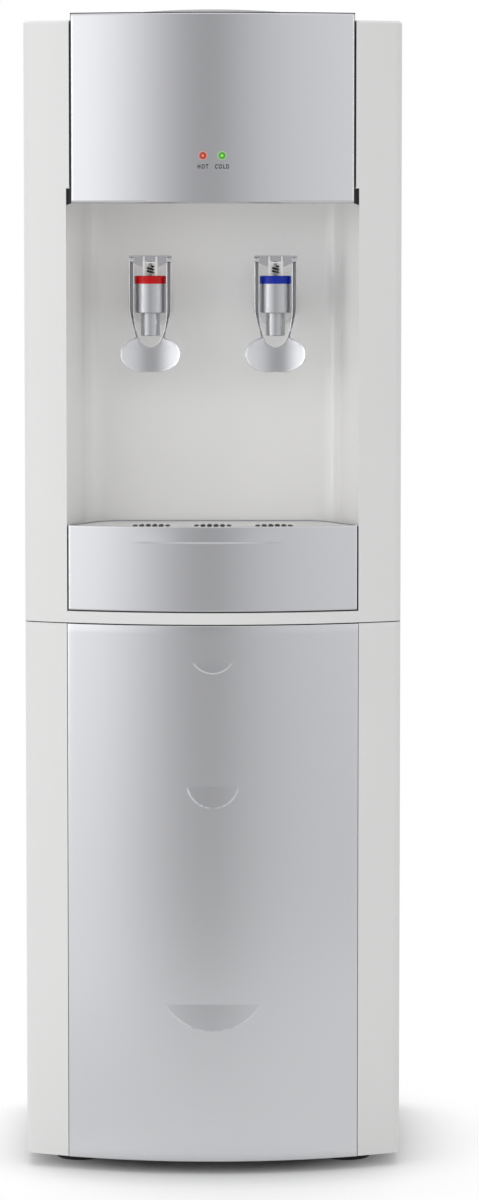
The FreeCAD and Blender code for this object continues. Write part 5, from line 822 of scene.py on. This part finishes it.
def lever_edge():
    """Points close together along the lever's outer and inner outline."""
    edge = []
    for step in range(-32, 1075, 6):
        drop = step / 10
        edge.append((lever_outside(drop), drop))
        if drop < OVAL_FOOT:
            edge.append((lever_inside(drop), drop))
    for step in range(161):
        bend = math.sin(math.radians(90 * step / 160))
        edge += [(lever_outside(drop), drop) for drop in (PADDLE_MIDDLE + 17.2 * bend,
                                                          PADDLE_MIDDLE - 14.6 * bend)]
    return edge + [(side / 2, PADDLE_FOOT) for side in range(0, 21)]


def lever_rows():
    """The lever's rows as (drop, half widths), close together along its rims."""
    bends = [math.sin(math.radians(3 * i)) for i in range(1, 31)]
    levels = [-3.2 + 5.2 * i for i in range(10)] + [OVAL_TOP + OVAL_DEPTH * bend for bend in bends]
    levels += [OVAL_FOOT + 23.7 * bend for bend in bends] + [75.4, 76.2, 77.0, 77.6]
    rows = []
    for drop in sorted(levels):
        inner, outer = lever_inside(drop), lever_outside(drop)
        width = outer - inner
        if inner > 0:
            near = [inner + min(a, width / 2 * a / 1.7) for a in RIM_STEPS]
        else:
            near = [width * a / 1.7 * 0.12 for a in RIM_STEPS]
        far = [outer - min(a, width / 2 * a / 1.7) for a in reversed(RIM_STEPS)]
        middle = [near[-1] + (far[0] - near[-1]) * i / 8 for i in range(1, 8)]
        rows.append((drop, near + middle + far))
    return rows


def lever_shell(name, x):
    """Rimmed arms and dished paddle, with a plain grey painted in the hollow of the arms as its shade."""
    edge, rows = lever_edge(), lever_rows()
    wide = len(rows[0][1])
    front, back = [], []
    for drop, row in rows:
        for side in [-value for value in reversed(row)] + row:
            face = lever_face(abs(side), drop)
            gap = outline_gap(abs(side), drop, edge)
            rim = 1 - smooth_step((gap - 0.75) / 0.7)
            recess = 3.2 - 3.0 * smooth_step((drop - 66) / 16)
            depth = face - HALF_THICK + recess * (1 - rim) + rolled(gap, 0.5)
            front.append((x + side * MM, PIVOT[0] + depth * MM, PIVOT[1] - drop * MM))
            depth = face + HALF_THICK - 1.4 * smooth_step((drop - 60) / 18)
            back.append((x + side * MM, PIVOT[0] + depth * MM, PIVOT[1] - drop * MM))
    span, count = wide * 2, len(front)
    faces = []
    for j in range(len(rows) - 1):
        closed = lever_inside(rows[j + 1][0]) <= 0 and lever_inside(rows[j][0]) <= 0
        for i in range(span - 1):
            if i == wide - 1 and not closed:
                continue
            a = j * span + i
            faces.append((a, a + span, a + span + 1, a + 1))
            faces.append((a + count, a + count + 1, a + count + span + 1, a + count + span))
        for i in [0, span - 1] + ([] if closed else [wide - 1, wide]):
            a = j * span + i
            faces.append((a, a + count, a + count + span, a + span))
    for j in (0, len(rows) - 1):
        for i in range(span - 1):
            if j == 0 and i == wide - 1:
                continue
            a = j * span + i
            faces.append((a, a + 1, a + count + 1, a + count))
    mesh = mesh_from(name, front + back, faces, 40, 2e-6)
    mesh.materials.append(FINISH["silver"])
    mesh.materials.append(FINISH["groove_grey"])
    # Faces in the hollow of the arms take the grey as painted shade.
    for face in mesh.polygons:
        drop = (PIVOT[1] - face.center.z) / MM
        side = abs(face.center.x - x) / MM
        hollow = PIVOT[0] - 0.0018 < face.center.y < PIVOT[0] + 0.0016
        if drop < 74 and hollow and outline_gap(side, drop, edge) > 0.9:
            face.material_index = 1
    return mesh


def add_web(work, x, top, start, stop):
    """One part of the web that hangs under the lever's top plate, in front of the pin."""
    near, far = -0.1269, -0.1258
    line = []
    for step in range(17):
        side = start + (stop - start) * step / 16
        line.append((side, 0.0035 if abs(side) < 0.005 else 0.0100 - 0.0078 * (side / 0.02) ** 2))
    foot = [work.verts.new((x + side, y, top - drop)) for y in (near, far) for side, drop in line]
    head = [work.verts.new((x + side, y, top + 0.0008)) for y in (near, far) for side, drop in line]
    n = len(line)
    for i in range(n - 1):
        work.faces.new((foot[i], foot[i + 1], head[i + 1], head[i]))
        work.faces.new((foot[n + i], head[n + i], head[n + i + 1], foot[n + i + 1]))
        work.faces.new((foot[i], foot[n + i], foot[n + i + 1], foot[i + 1]))
        work.faces.new((head[i], head[i + 1], head[n + i + 1], head[n + i]))
    for i in (0, n - 1):
        work.faces.new((foot[i], head[i], head[n + i], foot[n + i]))


def make_lever(name, x, body, node):
    """Push lever: the shell round the barrel, its top plate and web, its trunnions and the stem's fork."""
    mesh = lever_shell(name, x)
    top, thick, half, front, back = 0.8760, 0.0018, 0.0207, -0.12675, -0.10775
    stem_y, fork = -0.11625, (0.0076, 0.0096)
    pin_y, pin_z = PIVOT
    work = bmesh.new()
    work.from_mesh(mesh)
    add_block(work, (x - half, front, top), (x + half, back, top + thick), 0.0008, 4)
    for side in (-1, 1):
        near, far = x + side * 0.0156, x + side * 0.0206
        add_rod(work, (near, pin_y, pin_z), (far, pin_y, pin_z), 0.0034, 28, 0.0003)
        inner, outer = sorted(x + side * away for away in fork)
        add_block(work, (inner, -0.1187, 0.8722), (outer, -0.1138, top + 0.001), 0.0003)
    add_rod(work, (x - 0.0094, stem_y, pin_z), (x + 0.0094, stem_y, pin_z), 0.0012, 16)
    for start, stop in ((-0.0200, -0.0073), (-0.0046, 0.0046), (0.0073, 0.0200)):
        add_web(work, x, top, start, stop)
    bmesh.ops.recalc_face_normals(work, faces=work.faces)
    for face in work.faces:
        face.smooth = True
    keep_crisp(work, 40)
    work.to_mesh(mesh)
    work.free()
    finished(name, mesh, "silver", body, node)


# ---------------------------------------------------------------- grown pieces (geometry nodes)

def sizes_tree(name, sizes, with_mesh=False):
    """A geometry node tree with a named input for each size."""
    shape = {"Geometry": "NodeSocketGeometry"}
    inputs = {**(shape if with_mesh else {}), **sizes, "Finish": "NodeSocketMaterial"}
    tree, given, out = new_group(name, "GeometryNodeTree", inputs, shape)
    tree.is_modifier = True
    return tree, given, out


def geo(tree, kind, *values, **named):
    """The first output of a new geometry node."""
    return add(tree, f"GeometryNode{kind}", *values, **named).outputs[0]


def end_tree(tree, given, out, geometry):
    """End a tree in smooth real geometry with its finish set."""
    real = geo(tree, "RealizeInstances", geo(tree, "SetShadeSmooth", Geometry=geometry))
    put(tree, out["Geometry"], geo(tree, "SetMaterial", Geometry=real, Material=given["Finish"]))


def grow(name, tree, slot, seed=None, angle=35, **sizes):
    """Run a tree on a seed mesh and keep the result as a plain mesh, welded if it has an angle."""
    holder = placed(f"{name}_seed", seed or bpy.data.meshes.new(f"{name}_seed"))
    modifier = holder.modifiers.new("grow", "NODES")
    modifier.node_group = tree
    sizes["Finish"] = FINISH[slot]
    for item in tree.interface.items_tree:
        label = item.name.replace(" ", "_")
        if item.in_out == "INPUT" and label in sizes:
            modifier[item.identifier] = sizes[label]
    mesh = plain_mesh(holder)
    mesh.name = name
    return weld(mesh, angle) if angle else mesh


def spring_tree():
    """A coil spring wound up the Z axis."""
    tree, given, out = sizes_tree("valve_spring", {
        "Foot": (0.0, 0.0, 0.0), "Radius": 0.0034, "Wire Radius": 0.0004, "Height": 0.01, "Turns": 3.5})
    helix = geo(tree, "CurveSpiral", Resolution=40, Start_Radius=given["Radius"], End_Radius=given["Radius"],
                Rotations=given["Turns"], Height=given["Height"])
    wire = geo(tree, "CurvePrimitiveCircle", Resolution=12, Radius=given["Wire Radius"])
    coil = geo(tree, "CurveToMesh", Curve=helix, Profile_Curve=wire, Fill_Caps=True)
    end_tree(tree, given, out, geo(tree, "Transform", Geometry=coil, Translation=given["Foot"]))
    return tree


def make_springs():
    """The coil on each valve stem, from the barrel up to the stem's head."""
    tree = spring_tree()
    wire, seat = 0.0008, 0.0018
    for side in ("hot", "cold"):
        low, high, middle = box_middle(f"{side}_spring")
        outer = (high.x - low.x) / 2
        mesh = grow(f"{side}_valve_spring", tree, "spring_steel", angle=None,
                    Foot=(middle.x, middle.y, low.z + wire), Radius=outer - wire, Wire_Radius=wire,
                    Height=high.z - low.z - seat - wire * 2, Turns=2.2)
        piece = finished(f"{side}_valve_spring", mesh, "spring_steel", None, f"{side}_spring")
        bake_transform(piece)


def make_probe_hose():
    """Soft hose from the suction probe up to the pump's inlet."""
    low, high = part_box("probe_hose")
    top, foot = high.z, low.z
    rise = (top - foot) / 2
    route = [(-0.110, 0.09075, foot), (-0.110, 0.09075, foot + rise * 0.6),
             (-0.110, 0.09075, foot + rise), (-0.118, 0.0500, foot + rise),
             (-0.118, 0.0500, foot + rise * 1.4), (-0.118, 0.0500, top)]
    curve = bpy.data.curves.new("suction_hose", "CURVE")
    curve.dimensions = "3D"
    spline = curve.splines.new("NURBS")
    spline.points.add(len(route) - 1)
    for point, place in zip(spline.points, route):
        point.co = (*place, 1)
    spline.order_u = 3
    spline.use_endpoint_u = True
    spline.resolution_u = 10
    curve.bevel_depth = 0.004
    curve.bevel_resolution = 5
    curve.use_fill_caps = True
    mesh = weld(plain_mesh(placed("suction_hose", curve)), 50)
    piece = finished("probe_suction_hose", mesh, "hose", None, "probe_hose")
    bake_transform(piece)


def screw_tree():
    """Pan-head screws with a cross recess, one on each point of the seed mesh."""
    tree, given, out = sizes_tree("pan_head_screws", {
        "Head Radius": 0.0036, "Head Height": 0.002, "Shank Radius": 0.0018, "Shank Length": 0.007,
        "Recess": 0.0022, "Turn": (0.0, 0.0, 0.0)}, with_mesh=True)
    flat = reckon(tree, "DIVIDE", given["Head Height"], given["Head Radius"])
    dome = geo(tree, "MeshUVSphere", Segments=20, Rings=12, Radius=given["Head Radius"])
    pan = geo(tree, "Transform", Geometry=dome, Scale=vector(tree, 1, 1, flat))
    shank = geo(tree, "MeshCylinder", Vertices=16, Radius=given["Shank Radius"], Depth=given["Shank Length"])
    down = vector(tree, 0, 0, reckon(tree, "MULTIPLY", given["Shank Length"], -0.5))
    lower = geo(tree, "Transform", Geometry=shank, Translation=down)
    cuts = []
    top = vector(tree, 0, 0, given["Head Height"])
    for along in (0, 1):
        size = [0.0007, 0.0007, 0.0022]
        size[along] = given["Recess"]
        bar = geo(tree, "MeshCube", Size=vector(tree, *size))
        cuts.append(geo(tree, "Transform", Geometry=bar, Translation=top))
    head = geo(tree, "MeshBoolean", operation="DIFFERENCE", Mesh_1=pan, Mesh_2=cuts)
    screw = geo(tree, "JoinGeometry", Geometry=[head, lower])
    dots = geo(tree, "MeshToPoints", Mesh=given["Geometry"])
    stand = geo(tree, "InstanceOnPoints", Points=dots, Instance=screw, Rotation=given["Turn"])
    end_tree(tree, given, out, stand)
    return tree


def point_row(tree, count, pitch):
    """Points in a row along X, about the middle."""
    steps = reckon(tree, "MULTIPLY", reckon(tree, "SUBTRACT", count, 1.0), -0.5)
    first = reckon(tree, "MULTIPLY", steps, pitch)
    return geo(tree, "MeshLine", Count=count, Start_Location=vector(tree, first, 0.0, 0.0),
               Offset=vector(tree, pitch, 0.0, 0.0))


def drip_plate_tree():
    """Three clusters of slots, each longest in its middle, cut out of the seed plate; their walls take a
    darker finish as painted shade.
    """
    tree, given, out = sizes_tree("drip_plate_slots", {
        "Slots": 6, "Slot Pitch": 0.0062, "Slot Width": 0.0052, "Slot Length": 0.046,
        "Cluster Pitch": 0.0585, "Depth": 0.02, "Middle": (0.0, -0.157, 0.62),
        "Slot Finish": "NodeSocketMaterial"}, with_mesh=True)
    slots, pitch, width = given["Slots"], given["Slot Pitch"], given["Slot Width"]
    hole = geo(tree, "MeshCylinder", Vertices=24, Radius=reckon(tree, "MULTIPLY", width, 0.5),
               Depth=given["Depth"])
    across = add(tree, "ShaderNodeSeparateXYZ", geo(tree, "InputPosition")).outputs["X"]
    half = reckon(tree, "MULTIPLY", reckon(tree, "MULTIPLY", slots, pitch), 0.54)
    share = reckon(tree, "DIVIDE", across, half)
    round_end = reckon(tree, "SQRT", reckon(tree, "SUBTRACT", 1.0, reckon(tree, "MULTIPLY", share, share)))
    length = reckon(tree, "DIVIDE", reckon(tree, "MULTIPLY", given["Slot Length"], round_end), width)
    cluster = geo(tree, "InstanceOnPoints", Points=point_row(tree, slots, pitch), Instance=hole,
                  Scale=vector(tree, 1.0, length, 1.0))
    middles = point_row(tree, 3, given["Cluster Pitch"])
    clusters = geo(tree, "InstanceOnPoints", Points=middles, Instance=cluster)
    stand = geo(tree, "Transform", Geometry=clusters, Translation=given["Middle"])
    mark = geo(tree, "StoreNamedAttribute", Geometry=geo(tree, "RealizeInstances", Geometry=stand),
               data_type="BOOLEAN", domain="FACE", Name="slot_wall", Value=True)
    cut = geo(tree, "MeshBoolean", operation="DIFFERENCE", Mesh_1=given["Geometry"], Mesh_2=mark)
    paint = geo(tree, "SetMaterial", Geometry=geo(tree, "RealizeInstances", Geometry=cut),
                Material=given["Finish"])
    # The slot walls get the darker finish: painted shade inside the slots.
    wall = add(tree, "GeometryNodeInputNamedAttribute", data_type="BOOLEAN", Name="slot_wall")
    dark = geo(tree, "SetMaterial", Geometry=paint, Selection=wall.outputs["Attribute"],
               Material=given["Slot Finish"])
    put(tree, out["Geometry"], dark)
    return tree


def plate_outline(high):
    """Plan of the drip plate: bowed front, straight sides and rounded back corners."""
    half, back_half, frame_back, corner = high.x, 0.1196, -0.14925, 0.020
    front = [(half * step / 24, bowed(half * step / 24) + 0.0033) for step in range(-24, 25)]
    slope = Vector((back_half - half, high.y - frame_back)).normalized()
    reach = corner / math.tan(math.acos(-slope.x) / 2)
    centre = Vector((back_half - reach, high.y - corner))
    start = math.degrees(math.atan2(-slope.x, slope.y))
    turns = [math.radians(start + (90 - start) * step / 8) for step in range(9)]
    back = [(half, frame_back)] + [(centre.x + corner * math.cos(turn), centre.y + corner * math.sin(turn))
                                   for turn in turns]
    return front + back + [(-x, y) for x, y in reversed(back)]


def make_drip_plate():
    """Slotted plate over the tray."""
    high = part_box("drip_grille")[1]
    thick = 0.003
    work = bmesh.new()
    base = work.faces.new([work.verts.new((x, y, high.z - thick)) for x, y in plate_outline(high)])
    made = bmesh.ops.extrude_face_region(work, geom=[base])
    raised = [part for part in made["geom"] if isinstance(part, bmesh.types.BMVert)]
    bmesh.ops.translate(work, vec=(0, 0, thick), verts=raised)
    bmesh.ops.recalc_face_normals(work, faces=work.faces)
    rims = [edge for edge in work.edges if all(abs(v.co.z - high.z) < 1e-6 for v in edge.verts)]
    bmesh.ops.bevel(work, geom=rims, offset=0.0005, segments=2, affect="EDGES", profile=0.5)
    seed = bpy.data.meshes.new("drip_plate_seed")
    work.to_mesh(seed)
    work.free()
    # The grey slot walls paint the shade inside the slots.
    mesh = grow("slotted_drip_plate", drip_plate_tree(), "white_plastic", seed, angle=30,
                Middle=(0.0, -0.160, high.z), Slot_Finish=FINISH["grey_plastic"])
    finished("slotted_drip_plate", mesh, "white_plastic", "grille", "drip_grille")


def make_plate_bead():
    """The low bead that runs round the dished part of the drip plate; its dark grey paints the shadow line at
    the back of the plate.
    """
    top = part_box("drip_grille")[1].z
    left = [(-0.1350, -0.1600), (-0.1230, -0.1360), (-0.1110, -0.1120), (-0.1040, -0.1035),
            (-0.0930, -0.0995), (-0.0310, -0.0995)]
    path = left + [(-x, y) for x, y in reversed(left)]
    places, faces = [], []
    for i, (x, y) in enumerate(path):
        ahead, behind = path[min(i + 1, len(path) - 1)], path[max(i - 1, 0)]
        way = Vector((ahead[0] - behind[0], ahead[1] - behind[1])).normalized()
        side = Vector((-way.y, way.x)) * 0.0009
        for sign, height in ((-1, -0.0002), (-1, 0.0009), (1, 0.0009), (1, -0.0002)):
            places.append((x + side.x * sign, y + side.y * sign, top + height))
    for i in range(len(path) - 1):
        a, b = i * 4, i * 4 + 4
        faces += [(a + j, a + (j + 1) % 4, b + (j + 1) % 4, b + j) for j in range(4)]
    end = len(places) - 4
    faces += [(3, 2, 1, 0), (end, end + 1, end + 2, end + 3)]
    # The bead is raised plastic; its dark grey is painted shade for the shadow line behind the plate.
    bead = mesh_from("drip_plate_bead", places, faces, 40)
    finished("drip_plate_bead", bead, "grey_plastic", "grille")


def make_feet():
    """Levelling feet: a rubber pad that flares at the floor, its body and its threaded peg."""
    low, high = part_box("levelling_feet")
    reach, body_top = 0.019, 0.012
    profile = [(0.0, 0.0), (0.0212, 0.0), (0.0228, 0.0008), (0.0230, 0.0022), (0.0222, 0.0036),
               (0.0198, 0.0050), (0.0190, 0.0058), (0.0190, 0.0112), (0.0182, body_top),
               (0.0040, body_top), (0.0040, high.z), (0.0, high.z)]
    places, faces = [], []
    for x in (low.x + reach, high.x - reach):
        for y in (low.y + reach, high.y - reach):
            foot = turned(profile, lambda across, along, z: (x + across, y + along, z), first=len(places))
            places += foot[0]
            faces += foot[1]
    mesh = mesh_from("levelling_foot_pads", places, faces, 40)
    finished("levelling_foot_pads", mesh, "black_rubber", "cabinet", "levelling_feet")


def solids_of(node):
    """The middle and the corners of each separate solid of a CAD node."""
    work = bmesh.new()
    work.from_mesh(frame["nodes"][node].data)
    bmesh.ops.remove_doubles(work, verts=work.verts, dist=1e-6)
    left = set(work.verts)
    found = []
    while left:
        stack, seen = [left.pop()], []
        while stack:
            vert = stack.pop()
            seen.append(vert.co.copy())
            for edge in vert.link_edges:
                other = edge.other_vert(vert)
                if other in left:
                    left.discard(other)
                    stack.append(other)
        low = Vector([min(co[k] for co in seen) for k in range(3)])
        high = Vector([max(co[k] for co in seen) for k in range(3)])
        found.append(((low + high) / 2, low, high))
    work.free()
    return found


def make_screws():
    """The back panel's screws face backwards; the hinge bracket's screws face down."""
    tree = screw_tree()
    head = 0.002
    behind, below = [], []
    for middle, low, high in solids_of("case_screws"):
        if high.y - low.y > high.z - low.z:
            behind.append((middle.x, high.y - head, middle.z))
        else:
            below.append((middle.x, middle.y, low.z + head))
    pieces = []
    for places, turn in ((behind, -90), (below, 180)):
        seed = bpy.data.meshes.new("screw_places")
        seed.from_pydata(places, [], [])
        pieces.append(grow("screws", tree, "zinc", seed, Turn=(math.radians(turn), 0, 0)))
    work = bmesh.new()
    for mesh in pieces:
        work.from_mesh(mesh)
    work.to_mesh(pieces[0])
    work.free()
    finished("cross_head_screws", pieces[0], "zinc", "cabinet", "case_screws")


bpy.context.scene.view_settings.view_transform = "Standard"
set_camera()
light_studio()
dress_nodes()
make_door_face()
make_tray_face()
make_panel_face()
make_lamp("red")
make_lamp("green")
make_words()
make_drip_plate()
make_plate_bead()
for side, x in (("hot", -0.06), ("cold", 0.06)):
    make_lever(f"{side}_push_lever", x, f"{side}_lever", f"{side}_lever")
make_springs()
make_probe_hose()
make_feet()
make_screws()
